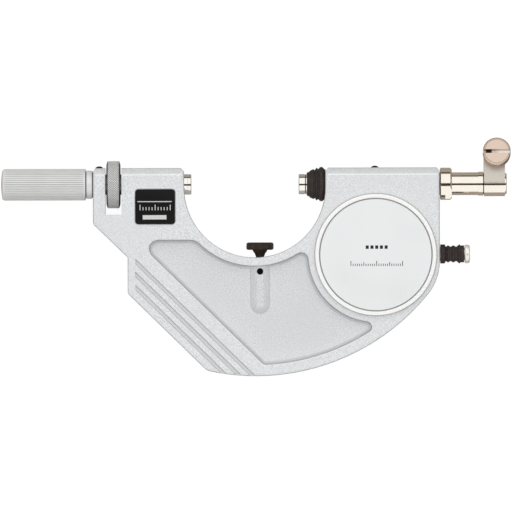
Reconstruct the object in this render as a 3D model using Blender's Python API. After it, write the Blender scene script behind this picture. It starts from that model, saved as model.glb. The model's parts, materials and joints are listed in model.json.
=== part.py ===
"""Indicating snap micrometer for shafts of 25 to 50 mm, lying on its back.

The origin is the centre of the sprung anvil's measuring face. +X runs along the measuring axis, from the
adjustable spindle to the anvil, +Y runs out of the throat, and +Z is the front, with the round cover.
"""

import math

import bmesh
import bpy
from mathutils import Matrix, Vector

# Clearances
GAP = 0.0003  # what two pieces that touch keep between them
BRAZE = 0.00005  # the joint under a brazed tip
PAST = 0.0020  # how far a cutter reaches past what it cuts
SKIM = 0.0005  # how far a tapered cutter does

# Measuring faces
MEASURING_GAP = 0.0500
SPINDLE_PROUD = 0.0034  # how far the face stands out of the throat's wall
ANVIL_PROUD = 0.0124

# Frame casting
FRAME_THICKNESS = 0.0170
HEAD_TOP = 0.00765
HEAD_TOP_ROUND = 0.0034
HEAD_CORNER = 0.0014
LEFT_HEAD = 0.0424
RIM_ROUND = 0.0011
THROAT_DROP = 0.0012  # of the throat's centre below the measuring axis
BELLY_SIDE = 0.00065  # of the belly's centre from the throat's
BELLY_RISE = 0.01504
BELLY_LAND = 0.0020  # between the cover and the belly
HEEL_RADIUS = 0.0250
CHIN_TOP = -0.0184
CHIN_RADIUS = 0.0022
GRIP_INSET = 0.0161
GRIP_TOP = -0.0340
GRIP_BOTTOM = -0.0508
GRIP_ANGLE = math.radians(-44.4)
GRIP_RADIUS = 0.0020
TOE_RADIUS = 0.0050

# Pocket on each side, with the backrest boss in it
WEB_THICKNESS = 0.0090
POCKET_TOP = -0.0260
POCKET_INSET = 0.0041  # from the grip to where its top and its slope would meet without their round
THROAT_RIM = 0.0041
COVER_RIM = 0.0030
BELLY_RIM = 0.0053
POCKET_TIP_ROUND = 0.0040
POCKET_TOE_ROUND = 0.0020
POCKET_HEEL_ROUND = 0.0023
POCKET_SHOULDER_ROUND = 0.0030
POCKET_BROW_ROUND = 0.0060
POCKET_FILLET = 0.0014
POCKET_EDGE = 0.0005
BOSS_SIDE = 0.0024  # of the boss from the throat's centre
BOSS_RADIUS = 0.00655
BOSS_LENGTH = 0.0216

# Grip grooves
GROOVE_COUNT = 3
GROOVE_INSET = 0.0036
GROOVE_DROP = 0.0018
GROOVE_SPACING = 0.00432
GROOVE_WIDTH = 0.0023
GROOVE_DEPTH = 0.0008
GROOVE_FLOOR = 0.0012

# Adjustable spindle, its wheel and its cap
SPINDLE_RADIUS = 0.00475
SPINDLE_TIP = 0.0016
SPINDLE_TRAVEL = 0.0250
TIP_CHAMFER = 0.0003
WHEEL_INSET = 0.0095
WHEEL_RADIUS = 0.0111
WHEEL_WIDTH = 0.0065
WHEEL_CHAMFER = 0.0005
WHEEL_FLANK = 0.0018  # height of the chamfer along its side
WHEEL_SIDE_ROOM = 0.00055
WHEEL_FLOOR_ROOM = 0.0029
BUSH_WALL = 0.00095
BUSH_SEAT = 0.0056
BUSH_THREAD = 0.0060
NECK_STEP = 0.00055
NECK_LENGTH = 0.0031
CAP_WALL = 0.00105
CAP_LENGTH = 0.0395
CAP_END_WALL = 0.0020
CAP_ROUND = 0.0012
TAIL_ROOM = 0.0017  # between the spindle's tail and the end of the cap
FLUTE_COUNT = 44
FLUTE_DEPTH = 0.00028

# Key screws on top of the heads
KEY_INSET = 0.0029
ANVIL_KEY_INSET = 0.0301
KEY_RADIUS = 0.0012
KEY_HEAD_RADIUS = 0.00180
KEY_HEAD_HEIGHT = 0.0010
KEY_SEAT_DEPTH = 0.0004
KEY_REACH = 0.0010

# Nameplate
PLATE_INSET = 0.0042
PLATE_WIDTH = 0.0185
PLATE_HEIGHT = 0.0162
PLATE_TOP = -0.0023
PLATE_CORNER = 0.0014
PLATE_THICKNESS = 0.0006
PLATE_SEAT = 0.0005

# Backrest and its set screw, from the floor of the throat
BACKREST_PROUD = 0.0070
BACKREST_RADIUS = 0.00635
BACKREST_HEIGHT = 0.0035
BACKREST_EDGE = 0.0006
BACKREST_FLARE = 0.0031
BACKREST_STEM = 0.0019
BACKREST_LENGTH = 0.0308
SET_SCREW_DROP = 0.0065
SET_SCREW_RADIUS = 0.00125
SET_SCREW_LENGTH = 0.0032
SET_SCREW_HEX = 0.0007

# Sprung anvil, from the right end of the head
ANVIL_RADIUS = 0.0047
ANVIL_TIP = 0.0029
ANVIL_TRAVEL = 0.0020
SHOULDER_INSET = 0.0186
ANVIL_ROD = 0.0020
ANVIL_ROD_PROUD = 0.0047
SPRING_RADIUS = 0.0033
SPRING_WIRE = 0.0005
SPRING_TURNS = 7

# Lever chamber, round cover and disc
CHAMBER_RADIUS = 0.0243
BACK_WALL = 0.0045
COVER_LAP = 0.0042
COVER_LIP = 0.0026
COVER_DROP = 0.00445  # of its rim below the measuring axis
COVER_SIDE = 0.0013  # between its rim and the right end of the head
THROAT_LAND = 0.003238  # between its rim and the throat
COVER_HEIGHT = 0.0017
COVER_EDGE = 0.0008
COVER_SPIGOT = 0.0020
DISC_THICKNESS = 0.0006
DISC_BELOW_RIM = 0.0003

# Retract lever and its pin
LEVER_INSET = 0.0236
PIVOT_Y = -0.0160
LEVER_HEAD_Y = -0.0022
LEVER_HEAD = 0.0017
LEVER_NECK = 0.0013
LEVER_HUB = 0.0036
LEVER_ARM = 0.0020
LEVER_FOOT = 0.0022
LEVER_THICKNESS = 0.0034
PIN_RADIUS = 0.0015
PIN_SHOULDER = 0.0030
PIN_DEPTH = 0.0030
PIN_END = 0.0008
CLIP_RADIUS = 0.0030
CLIP_THICKNESS = 0.0006
PIN_GROOVE = 0.0003

# Push button
BUTTON_RISE = 0.00025  # above the middle of the cover
ROD_RADIUS = 0.0018
ROD_COLLAR = 0.0030
ROD_COLLAR_LENGTH = 0.0020
GUIDE_RADIUS = 0.0032
GUIDE_PROUD = 0.0020
BUTTON_RADIUS = 0.0043
BUTTON_PROUD = 0.0141
BUTTON_LENGTH = 0.0024
BUTTON_NECK = 0.0029
BUTTON_NECK_LENGTH = 0.0021
BUTTON_EDGE = 0.0009
BUTTON_WALL = 0.0012

# Indicator stem and its clamp
STEM_RADIUS = 0.0053
STEM_BEAD = 0.00555
STEM_BEAD_LENGTH = 0.0023
STEM_END_RADIUS = 0.0049
STEM_PROUD = 0.0313
STEM_SEAT = 0.0053
STEM_BORE = 0.0040
STEM_BORE_DEPTH = 0.0244
NUT_RADIUS = 0.0075
NUT_LENGTH = 0.0054
NUT_CHAMFER = 0.0007
NUT_FLAT = 0.0066
NUT_FLAT_LENGTH = 0.0030
NUT_TURN = math.radians(-48.0)
CLAMP_RADIUS = 0.00585
CLAMP_WIDTH = 0.0098
CLAMP_INSET = 0.0057
CLAMP_LEAN = math.radians(-12.0)
CLAMP_SLIT = 0.0012
SCREW_RISE = 0.0129
SCREW_SIDE = 0.0010
SCREW_RADIUS = 0.0020
SCREW_HEAD = 0.0065
SCREW_HEAD_LENGTH = 0.0060
SCREW_CHAMFER = 0.0005
SCREW_SLOT = 0.0017
SCREW_SLOT_DEPTH = 0.0020

# Rubber bellows: a fold's height, and (place along, height, wall) at each crest and root, as shares
BOOT_SEAT = 0.0075
BOOT_SEAT_DEPTH = 0.0003
ANVIL_FOLD = 0.0030
ANVIL_BOOT = (
    (0.00, 0.13, 0.13),
    (0.05, 0.17, 0.17),
    (0.25, 0.53, 0.43),
    (0.34, 0.67, 0.53),
    (0.42, 0.53, 0.37),
    (0.53, 0.87, 0.40),
    (0.61, 0.70, 0.37),
    (0.74, 1.00, 0.40),
    (0.82, 1.00, 0.40),
    (1.00, 0.60, 0.30),
)
BUTTON_FOLD = 0.00235
BUTTON_BOOT = (
    (0.00, 1.00, 0.40),
    (0.18, 1.00, 0.40),
    (0.24, 0.55, 0.30),
    (0.32, 0.81, 0.30),
    (0.43, 0.55, 0.30),
    (0.55, 0.81, 0.30),
    (0.66, 0.55, 0.30),
    (0.81, 1.00, 0.40),
    (0.85, 0.79, 0.32),
    (1.00, 0.79, 0.32),
)

# Values that follow from those above
FACE_Z = FRAME_THICKNESS / 2
SPINDLE_FACE = -MEASURING_GAP
THROAT_LEFT = SPINDLE_FACE - SPINDLE_PROUD
THROAT_RIGHT = ANVIL_PROUD
THROAT_RADIUS = (THROAT_RIGHT - THROAT_LEFT) / 2
THROAT_CENTRE = Vector((THROAT_RIGHT - THROAT_RADIUS, -THROAT_DROP))
THROAT_FLOOR = THROAT_CENTRE.y - THROAT_RADIUS
HEAD_LEFT = THROAT_LEFT - LEFT_HEAD

COVER_RADIUS = CHAMBER_RADIUS + COVER_LAP
DISC_RADIUS = COVER_RADIUS - COVER_LIP
COVER_Y = -COVER_DROP - COVER_RADIUS
COVER_REACH = math.sqrt((THROAT_RADIUS + THROAT_LAND + COVER_RADIUS) ** 2 - (THROAT_CENTRE.y - COVER_Y) ** 2)
COVER_CENTRE = Vector((THROAT_CENTRE.x + COVER_REACH, COVER_Y))
CHAMBER_FLOOR = -FACE_Z + BACK_WALL
HEAD_RIGHT = COVER_CENTRE.x + COVER_RADIUS + COVER_SIDE
BELLY_CENTRE = THROAT_CENTRE + Vector((BELLY_SIDE, BELLY_RISE))
BELLY_RADIUS = (COVER_CENTRE - BELLY_CENTRE).length + COVER_RADIUS + BELLY_LAND
GRIP_LEFT = HEAD_LEFT + GRIP_INSET
GRIP_SLOPE = Vector((math.cos(GRIP_ANGLE), math.sin(GRIP_ANGLE)))

WHEEL_X = HEAD_LEFT + WHEEL_INSET
BUSH_RADIUS = SPINDLE_RADIUS + GAP + BUSH_WALL
NECK_RADIUS = BUSH_RADIUS + NECK_STEP
CAP_RADIUS = BUSH_RADIUS + GAP + CAP_WALL
CAP_RIGHT = HEAD_LEFT - NECK_LENGTH - GAP
SPINDLE_LENGTH = SPINDLE_FACE - CAP_RIGHT + CAP_LENGTH - CAP_END_WALL - TAIL_ROOM
KEY_X = HEAD_LEFT + KEY_INSET
BOSS_X = THROAT_CENTRE.x + BOSS_SIDE
BACKREST_TOP = THROAT_FLOOR + BACKREST_PROUD
SET_SCREW_Y = THROAT_FLOOR - SET_SCREW_DROP

ANVIL_KEY_X = HEAD_RIGHT - ANVIL_KEY_INSET
ANVIL_SHOULDER = HEAD_RIGHT - SHOULDER_INSET
ANVIL_END = HEAD_RIGHT + ANVIL_ROD_PROUD
LEVER_X = HEAD_RIGHT - LEVER_INSET
BUTTON_Y = COVER_CENTRE.y + BUTTON_RISE
BUTTON_FACE_X = HEAD_RIGHT + BUTTON_PROUD
LEVER_RISE = LEVER_HEAD_Y - PIVOT_Y
LEVER_DROP = PIVOT_Y - BUTTON_Y
STEM_START = HEAD_RIGHT - STEM_SEAT
STEM_END_X = HEAD_RIGHT + STEM_PROUD
CLAMP_X = STEM_END_X - CLAMP_INSET

AXES = {"X": Vector((1, 0, 0)), "Y": Vector((0, 1, 0)), "Z": Vector((0, 0, 1))}


def arc(centre, radius, start, end, steps):
    """Points of a flat arc, with its angles in degrees."""
    turn = (end - start) / steps
    angles = [math.radians(start + turn * i) for i in range(steps + 1)]
    return [Vector((centre[0] + radius * math.cos(a), centre[1] + radius * math.sin(a))) for a in angles]


def along(points, distance):
    """The point at a distance along a polyline, and the points that lie past it."""
    for i in range(len(points) - 1):
        step = (points[i + 1] - points[i]).length
        if distance < step:
            return points[i].lerp(points[i + 1], distance / step), points[i + 1 :]
        distance -= step
    return points[-1], []


def rounded_loop(sides, radii, steps=5):
    """Sides laid end to end, with the corner at the start of each one rounded to its radius."""
    kept = [list(side) for side in sides]
    rounds = []
    for i, radius in enumerate(radii):
        before, after = kept[i - 1], kept[i]
        corner = after[0]
        if not radius:
            rounds.append([corner])
            continue
        back = (before[-2] - corner).normalized()
        ahead = (after[1] - corner).normalized()
        half = back.angle(ahead) / 2
        reach = radius / math.tan(half)
        start, rest = along(before[::-1], reach)
        kept[i - 1] = [*reversed(rest), start]
        end, rest = along(after, reach)
        kept[i] = [end, *rest]
        centre = corner + (back + ahead).normalized() * radius / math.sin(half)
        first, last = start - centre, end - centre
        sweep = -first.angle_signed(last)
        rounds.append([])
        for step in range(steps + 1):
            share = step / steps
            spoke = first.normalized() * (first.length * (1 - share) + last.length * share)
            rounds[-1].append(centre + Matrix.Rotation(sweep * share, 2) @ spoke)
    return [point for turn, side in zip(rounds, kept) for point in [*turn, *side[1:-1]]]


def offset_loop(points, distance):
    """A loop that runs counter-clockwise, moved outwards by a distance."""
    moved = []
    for i, point in enumerate(points):
        back = (point - points[i - 1]).normalized()
        ahead = (points[(i + 1) % len(points)] - point).normalized()
        bisector = (back + ahead).normalized()
        spread = max(0.5, bisector.dot(ahead))
        moved.append(point + Vector((bisector.y, -bisector.x)) * distance / spread)
    return moved


def rounded_box(left, bottom, right, top, radius, steps=5):
    corners = [Vector(p) for p in ((left, bottom), (right, bottom), (right, top), (left, top))]
    sides = [[corners[i], corners[(i + 1) % 4]] for i in range(4)]
    return rounded_loop(sides, [radius] * 4, steps)


def add_object(name, shape, material, place=(0, 0, 0), sharp=32.0):
    """A bmesh made into an object, with its faces out, smooth where it is round."""
    bmesh.ops.remove_doubles(shape, verts=shape.verts, dist=1e-7)
    bmesh.ops.recalc_face_normals(shape, faces=shape.faces)
    mesh = bpy.data.meshes.new(name)
    shape.to_mesh(mesh)
    shape.free()
    mesh.shade_smooth()
    mesh.set_sharp_from_angle(angle=math.radians(sharp))
    item = bpy.data.objects.new(name, mesh)
    item.location = place
    bpy.context.scene.collection.objects.link(item)
    if material is None:
        item.hide_render = True
        item.display_type = "WIRE"
    else:
        mesh.materials.append(material)
    return item


def turned(profile, axis="X", steps=32, hollow=False):
    """A profile of (place along the axis, radius) points, turned round the axis."""
    shape = bmesh.new()
    along_axis = AXES[axis]
    outwards = AXES["X"] if axis != "X" else AXES["Y"]
    verts = [shape.verts.new(along_axis * a + outwards * r) for a, r in profile]
    edges = [shape.edges.new(pair) for pair in zip(verts, verts[1:])]
    if hollow:
        edges.append(shape.edges.new((verts[-1], verts[0])))
    bmesh.ops.spin(
        shape,
        geom=verts + edges,
        cent=(0, 0, 0),
        axis=along_axis,
        angle=math.tau,
        steps=steps,
        use_merge=True,
    )
    return shape


def rod(start, end, radius, axis="X", steps=32):
    return turned([(start, 0), (start, radius), (end, radius), (end, 0)], axis, steps)


def lofted(rings):
    """A closed solid through rings of 3-D points, each with as many points as the first."""
    shape = bmesh.new()
    loops = []
    for ring in rings:
        verts = [shape.verts.new(point) for point in ring]
        loops.append([shape.edges.new((verts[i - 1], verts[i])) for i in range(len(verts))])
        if len(loops) in (1, len(rings)):
            shape.faces.new(verts)
    for below, above in zip(loops, loops[1:]):
        bmesh.ops.bridge_loops(shape, edges=below + above)
    return shape


def slab(outline, low, high):
    """A flat outline extruded along Z."""
    shape = bmesh.new()
    base = shape.faces.new([shape.verts.new((p[0], p[1], low)) for p in outline])
    raised = bmesh.ops.extrude_face_region(shape, geom=[base])["geom"]
    bmesh.ops.translate(
        shape, vec=(0, 0, high - low), verts=[g for g in raised if isinstance(g, bmesh.types.BMVert)]
    )
    return shape


def block(low, high):
    """A box between two corners."""
    shape = bmesh.new()
    size = [h - l for l, h in zip(low, high)]
    middle = [(h + l) / 2 for l, h in zip(low, high)]
    matrix = Matrix.Translation(middle) @ Matrix.Diagonal((*size, 1))
    bmesh.ops.create_cube(shape, size=1, matrix=matrix)
    return shape


def round_rims(shape, width, steps, chosen):
    """Rounds the edges that the test picks."""
    edges = [edge for edge in shape.edges if chosen(edge)]
    bmesh.ops.bevel(
        shape, geom=edges, offset=width, segments=steps, profile=0.5, affect="EDGES", clamp_overlap=True
    )


def boolean(item, tool, operation="DIFFERENCE"):
    modifier = item.modifiers.new(tool.name, "BOOLEAN")
    modifier.operation = operation
    modifier.solver = "EXACT"
    modifier.object = tool


def cut(item, name, shape, place=(0, 0, 0), turn=None):
    """Takes a shape away from an object. The cutter stays in the file as a wire."""
    tool = add_object(name, shape, None, place)
    if turn:
        tool.rotation_euler = turn
    boolean(item, tool)
    return tool


def finish(name, colour, roughness, metallic):
    """A plain material of one colour, given as it looks on screen."""
    material = bpy.data.materials.new(name)
    material.use_nodes = True
    shader = material.node_tree.nodes["Principled BSDF"]
    linear = [c / 12.92 if c <= 0.04045 else ((c + 0.055) / 1.055) ** 2.4 for c in colour]
    shader.inputs["Base Color"].default_value = (*linear, 1)
    shader.inputs["Roughness"].default_value = roughness
    shader.inputs["Metallic"].default_value = metallic
    material.diffuse_color = (*linear, 1)
    return material


def make_finishes():
    return {
        "paint": finish("hammered_grey_paint", (0.83, 0.84, 0.85), 0.55, 0.0),
        "satin": finish("satin_chrome", (0.82, 0.82, 0.81), 0.35, 1.0),
        "wheel": finish("knurled_steel", (0.68, 0.68, 0.68), 0.40, 1.0),
        "bright": finish("polished_steel", (0.86, 0.86, 0.85), 0.12, 1.0),
        "nickel": finish("warm_nickel", (0.86, 0.82, 0.76), 0.15, 1.0),
        "disc": finish("satin_aluminium", (0.88, 0.89, 0.90), 0.45, 0.6),
        "black": finish("black_oxide", (0.06, 0.06, 0.06), 0.45, 0.2),
        "plate": finish("black_plate", (0.07, 0.07, 0.07), 0.35, 0.0),
        "rubber": finish("black_rubber", (0.14, 0.11, 0.10), 0.60, 0.0),
        "dark": finish("dark_bronzed_steel", (0.20, 0.16, 0.14), 0.40, 0.5),
        "steel": finish("ground_steel", (0.70, 0.70, 0.70), 0.30, 1.0),
    }


def circle_meet(centre, radius, other, other_radius):
    """The lower left of the two points where two circles meet."""
    apart = other - centre
    span = apart.length
    reach = (radius**2 - other_radius**2 + span**2) / (2 * span)
    half = math.sqrt(radius**2 - reach**2)
    return centre + apart * reach / span - Vector((-apart.y, apart.x)) * half / span


def circle_hit(start, direction, centre, radius):
    """Where a straight line from inside a circle leaves it."""
    away = start - centre
    ahead = away.dot(direction)
    return start + direction * (math.sqrt(ahead**2 - away.length_squared + radius**2) - ahead)


def bearing(point, centre):
    return math.degrees(math.atan2(point.y - centre.y, point.x - centre.x))


def frame_outline():
    """The side view of the casting, counter-clockwise from its top right corner."""
    heel_x = HEAD_RIGHT - HEEL_RADIUS
    heel_drop = math.sqrt((BELLY_RADIUS - HEEL_RADIUS) ** 2 - (heel_x - BELLY_CENTRE.x) ** 2)
    heel = Vector((heel_x, BELLY_CENTRE.y - heel_drop))
    heel_turn = bearing(heel, BELLY_CENTRE)
    top_right = Vector((HEAD_RIGHT, HEAD_TOP))
    throat_right = Vector((THROAT_RIGHT, HEAD_TOP))
    throat_left = Vector((THROAT_LEFT, HEAD_TOP))
    top_left = Vector((HEAD_LEFT, HEAD_TOP))
    chin = Vector((HEAD_LEFT, CHIN_TOP))
    grip_top = Vector((GRIP_LEFT, GRIP_TOP))
    grip = Vector((GRIP_LEFT, GRIP_BOTTOM))
    toe = circle_hit(grip, GRIP_SLOPE, BELLY_CENTRE, BELLY_RADIUS)
    belly = arc(BELLY_CENTRE, BELLY_RADIUS, bearing(toe, BELLY_CENTRE), heel_turn, 24)
    sides = [
        [top_right, throat_right],
        [throat_right, *arc(THROAT_CENTRE, THROAT_RADIUS, 0, -180, 36), throat_left],
        [throat_left, top_left],
        [top_left, chin],
        [chin, grip_top],
        [grip_top, grip],
        [grip, toe],
        [*belly[:-1], *arc(heel, HEEL_RADIUS, heel_turn, 0, 12), top_right],
    ]
    return rounded_loop(sides, [HEAD_CORNER] * 4 + [CHIN_RADIUS, 0, GRIP_RADIUS, TOE_RADIUS])


def pocket_outline():
    """The rim of the pocket, counter-clockwise from its left tip."""
    belly_radius = BELLY_RADIUS - BELLY_RIM
    cover_radius = COVER_RADIUS + COVER_RIM
    throat_radius = THROAT_RADIUS + THROAT_RIM
    left = Vector((GRIP_LEFT + POCKET_INSET, POCKET_TOP))
    bottom = circle_hit(left, GRIP_SLOPE, BELLY_CENTRE, belly_radius)
    tip = circle_meet(BELLY_CENTRE, belly_radius, COVER_CENTRE, cover_radius)
    shoulder = circle_meet(THROAT_CENTRE, throat_radius, COVER_CENTRE, cover_radius)
    rise = POCKET_TOP - THROAT_CENTRE.y
    brow = Vector((THROAT_CENTRE.x - math.sqrt(throat_radius**2 - rise**2), POCKET_TOP))
    cover_end = bearing(shoulder, COVER_CENTRE) - 360
    rounds = (
        POCKET_TIP_ROUND,
        POCKET_TOE_ROUND,
        POCKET_HEEL_ROUND,
        POCKET_SHOULDER_ROUND,
        POCKET_BROW_ROUND,
    )
    sides = [
        [left, bottom],
        arc(BELLY_CENTRE, belly_radius, bearing(bottom, BELLY_CENTRE), bearing(tip, BELLY_CENTRE), 12),
        arc(COVER_CENTRE, cover_radius, bearing(tip, COVER_CENTRE), cover_end, 14),
        arc(THROAT_CENTRE, throat_radius, bearing(shoulder, THROAT_CENTRE), bearing(brow, THROAT_CENTRE), 14),
        [brow, left],
    ]
    return rounded_loop(sides, rounds, steps=4)


def raised(loop, height):
    return [(p.x, p.y, height) for p in loop]


def pocket_cutter(side):
    """The hollow of one pocket: its floor is filleted and its rim has a small chamfer."""
    rim = pocket_outline()
    floor = WEB_THICKNESS / 2
    rings = []
    for step in range(3):
        turn = math.radians(45 * step)
        inset = POCKET_FILLET * (1 - math.sin(turn))
        rings.append(raised(offset_loop(rim, -inset), floor + POCKET_FILLET * (1 - math.cos(turn))))
    rings.append(raised(rim, FACE_Z - POCKET_EDGE))
    rings.append(raised(offset_loop(rim, POCKET_EDGE + SKIM), FACE_Z + SKIM))
    rings.append(raised(offset_loop(rim, POCKET_EDGE + SKIM), FACE_Z + PAST))
    return lofted([[(x, y, z * side) for x, y, z in ring] for ring in rings])


def top_round_cutter(side):
    """What lies outside the round along the top of the heads."""
    radius = HEAD_TOP_ROUND
    section = [
        (HEAD_TOP + radius * (math.sin(turn) - 1), FACE_Z + radius * (math.cos(turn) - 1))
        for turn in [math.radians(15 * step) for step in range(7)]
    ]
    section += [(HEAD_TOP + PAST, FACE_Z - radius), (HEAD_TOP + PAST, FACE_Z + PAST)]
    section += [(HEAD_TOP - radius, FACE_Z + PAST)]
    ends = (HEAD_LEFT - PAST, HEAD_RIGHT + PAST)
    return lofted([[(x, y, z * side) for y, z in section] for x in ends])


def groove_cutter():
    """Three tapered grooves on each side, which run out through the belly."""
    shape = bmesh.new()
    across = GRIP_SLOPE.orthogonal()
    far = BELLY_CENTRE.y - BELLY_RADIUS - PAST
    for side in (1, -1):
        for number in range(GROOVE_COUNT):
            drop = GROOVE_DROP + number * GROOVE_SPACING / GRIP_SLOPE.x
            middle = Vector((GRIP_LEFT + GROOVE_INSET, GRIP_TOP - drop))
            corners = []
            for depth, width in ((GROOVE_DEPTH, GROOVE_FLOOR), (-SKIM, GROOVE_WIDTH + SKIM / 2)):
                half = width / 2 / abs(across.y)
                run = (far - middle.y) / GRIP_SLOPE.y
                for offset in (-half, half):
                    start = middle + Vector((0, offset))
                    for point in (start, start + GRIP_SLOPE * run):
                        corners.append(shape.verts.new((*point, (FACE_Z - depth) * side)))
            bmesh.ops.convex_hull(shape, input=corners)
    return shape


def make_frame(looks):
    shape = slab(frame_outline(), -FACE_Z, FACE_Z)
    round_rims(shape, RIM_ROUND, 2, lambda edge: edge.verts[0].co.z == edge.verts[1].co.z)
    frame = add_object("frame", shape, looks["paint"])
    for side, word in ((1, "front"), (-1, "back")):
        cut(frame, f"top_round_{word}", top_round_cutter(side))
        cut(frame, f"pocket_{word}", pocket_cutter(side))

    boss_end = [
        (THROAT_FLOOR - BOSS_LENGTH + BOSS_RADIUS * math.sin(turn), BOSS_RADIUS * math.cos(turn))
        for turn in [math.radians(-90 + 15 * step) for step in range(7)]
    ]
    boss_end[0] = (boss_end[0][0], 0)
    boss_top = THROAT_FLOOR - THROAT_RIM / 2
    boss = turned(boss_end + [(boss_top, BOSS_RADIUS), (boss_top, 0)], "Y", 28)
    boolean(frame, add_object("boss_core", boss, None, (BOSS_X, 0, 0)), "UNION")
    cut(frame, "grip_grooves", groove_cutter())

    slot = WHEEL_WIDTH / 2 + WHEEL_SIDE_ROOM
    low = (-slot, -WHEEL_RADIUS - WHEEL_FLOOR_ROOM, -FACE_Z - PAST)
    cut(frame, "wheel_slot", block(low, (slot, HEAD_TOP + PAST, FACE_Z + PAST)), (WHEEL_X, 0, 0))
    bore = SPINDLE_RADIUS + GAP
    seat_end = WHEEL_X - WHEEL_WIDTH / 2
    seat = BUSH_RADIUS + GAP
    spindle_bore = [
        (HEAD_LEFT - PAST, 0),
        (HEAD_LEFT - PAST, seat),
        (seat_end, seat),
        (seat_end, bore),
        (THROAT_LEFT + PAST, bore),
        (THROAT_LEFT + PAST, 0),
    ]
    cut(frame, "spindle_bore", turned(spindle_bore))
    bore = ANVIL_RADIUS + GAP
    seat = STEM_RADIUS + GAP
    anvil_bore = [
        (THROAT_RIGHT - PAST, 0),
        (THROAT_RIGHT - PAST, bore),
        (STEM_START - GAP, bore),
        (STEM_START - GAP, seat),
        (HEAD_RIGHT + PAST, seat),
        (HEAD_RIGHT + PAST, 0),
    ]
    cut(frame, "anvil_bore", turned(anvil_bore))
    boot_seat = rod(THROAT_RIGHT - BOOT_SEAT, THROAT_RIGHT + BOOT_SEAT_DEPTH, BOOT_SEAT)
    cut(frame, "boot_seat", boot_seat)
    cut(frame, "chamber", rod(CHAMBER_FLOOR, FACE_Z + PAST, CHAMBER_RADIUS, "Z", 48), (*COVER_CENTRE, 0))

    swing = LEVER_HEAD + GAP
    slot_half = LEVER_THICKNESS / 2 + GAP
    low = (-swing - GAP, PIVOT_Y + LEVER_HUB, -slot_half)
    high = (swing + GAP + ANVIL_TRAVEL, PAST / 2 - ANVIL_RADIUS, slot_half)
    cut(frame, "lever_slot", block(low, high), (LEVER_X, 0, 0))
    pin_hole = rod(CHAMBER_FLOOR - PIN_DEPTH - GAP, CHAMBER_FLOOR + PAST, PIN_RADIUS + GAP, "Z", 20)
    cut(frame, "pin_hole", pin_hole, (LEVER_X, PIVOT_Y, 0))
    chamber_right = COVER_CENTRE.x + CHAMBER_RADIUS
    guide_hole = rod(chamber_right - PAST, HEAD_RIGHT + PAST, GUIDE_RADIUS + GAP, "X", 28)
    cut(frame, "guide_hole", guide_hole, (0, BUTTON_Y, 0))
    stem_end = BACKREST_TOP - BACKREST_LENGTH - 2 * GAP
    stem_hole = rod(stem_end, THROAT_FLOOR + PAST, BACKREST_STEM + GAP, "Y", 24)
    cut(frame, "backrest_bore", stem_hole, (BOSS_X, 0, 0))
    screw_hole = rod(0, FACE_Z, SET_SCREW_RADIUS + GAP, "Z", 20)
    cut(frame, "set_screw_hole", screw_hole, (BOSS_X, SET_SCREW_Y, 0))
    for name, x in (("spindle", KEY_X), ("anvil", ANVIL_KEY_X)):
        seat = [
            (0, 0),
            (0, KEY_RADIUS + GAP),
            (HEAD_TOP - KEY_SEAT_DEPTH, KEY_RADIUS + GAP),
            (HEAD_TOP - KEY_SEAT_DEPTH, KEY_HEAD_RADIUS + GAP),
            (HEAD_TOP + PAST, KEY_HEAD_RADIUS + GAP),
            (HEAD_TOP + PAST, 0),
        ]
        cut(frame, f"{name}_key_hole", turned(seat, "Y", 14), (x, 0, 0))
    cut(frame, "plate_seat", slab(plate_outline(GAP), FACE_Z - PLATE_SEAT, FACE_Z + PAST))


def plate_outline(room=0.0):
    right = THROAT_LEFT - PLATE_INSET + room
    top = PLATE_TOP + room
    left = right - PLATE_WIDTH - 2 * room
    bottom = top - PLATE_HEIGHT - 2 * room
    return rounded_box(left, bottom, right, top, PLATE_CORNER + room)


def make_nameplate(looks):
    low = FACE_Z - PLATE_SEAT + GAP
    add_object("nameplate", slab(plate_outline(), low, low + PLATE_THICKNESS), looks["plate"])


def make_cover(looks):
    """The cover screws into the chamber by its spigot, and the disc lies in its rim."""
    low = FACE_Z + GAP
    top = low + COVER_HEIGHT
    spigot = CHAMBER_RADIUS - GAP
    seat = DISC_RADIUS + GAP
    floor = top - DISC_BELOW_RIM - DISC_THICKNESS - GAP
    edge = [
        (top - COVER_EDGE * (1 - math.sin(turn)), COVER_RADIUS - COVER_EDGE * (1 - math.cos(turn)))
        for turn in [math.radians(30 * step) for step in range(4)]
    ]
    profile = [
        (low - COVER_SPIGOT, 0),
        (low - COVER_SPIGOT, spigot),
        (low, spigot),
        (low, COVER_RADIUS),
        *edge,
        (top, seat + GAP),
        (top - GAP, seat),
        (floor, seat),
        (floor, 0),
    ]
    add_object("round_cover", turned(profile, "Z", 44), looks["bright"], (*COVER_CENTRE, 0))
    disc = rod(floor + GAP, floor + GAP + DISC_THICKNESS, DISC_RADIUS, "Z", 44)
    add_object("cover_disc", disc, looks["disc"], (*COVER_CENTRE, 0))


def key_screw(name, x, tip, looks):
    """A round-head screw whose plain end sits in the key slot of the piece below it."""
    under = HEAD_TOP - KEY_SEAT_DEPTH + GAP
    dome = [
        (under + KEY_HEAD_HEIGHT * math.sin(turn), KEY_HEAD_RADIUS * math.cos(turn))
        for turn in [math.radians(22.5 * step) for step in range(5)]
    ]
    dome[-1] = (under + KEY_HEAD_HEIGHT, 0)
    profile = [(tip, 0), (tip, KEY_RADIUS), (under, KEY_RADIUS), *dome]
    add_object(name, turned(profile, "Y", 14), looks["black"], (x, 0, 0))


def make_key_screws(looks):
    key_screw("spindle_key_screw", KEY_X, SPINDLE_RADIUS - KEY_REACH, looks)
    key_screw("anvil_key_screw", ANVIL_KEY_X, ANVIL_RADIUS - KEY_REACH, looks)


def cut_key_slot(item, name, radius, first, last, place):
    """A slot along the top of a shaft, for a key screw between two places."""
    half = KEY_RADIUS + GAP
    floor = radius - KEY_REACH - GAP
    cut(item, name, block((first - half, floor, -half), (last + half, radius + PAST, half)), place)


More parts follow.
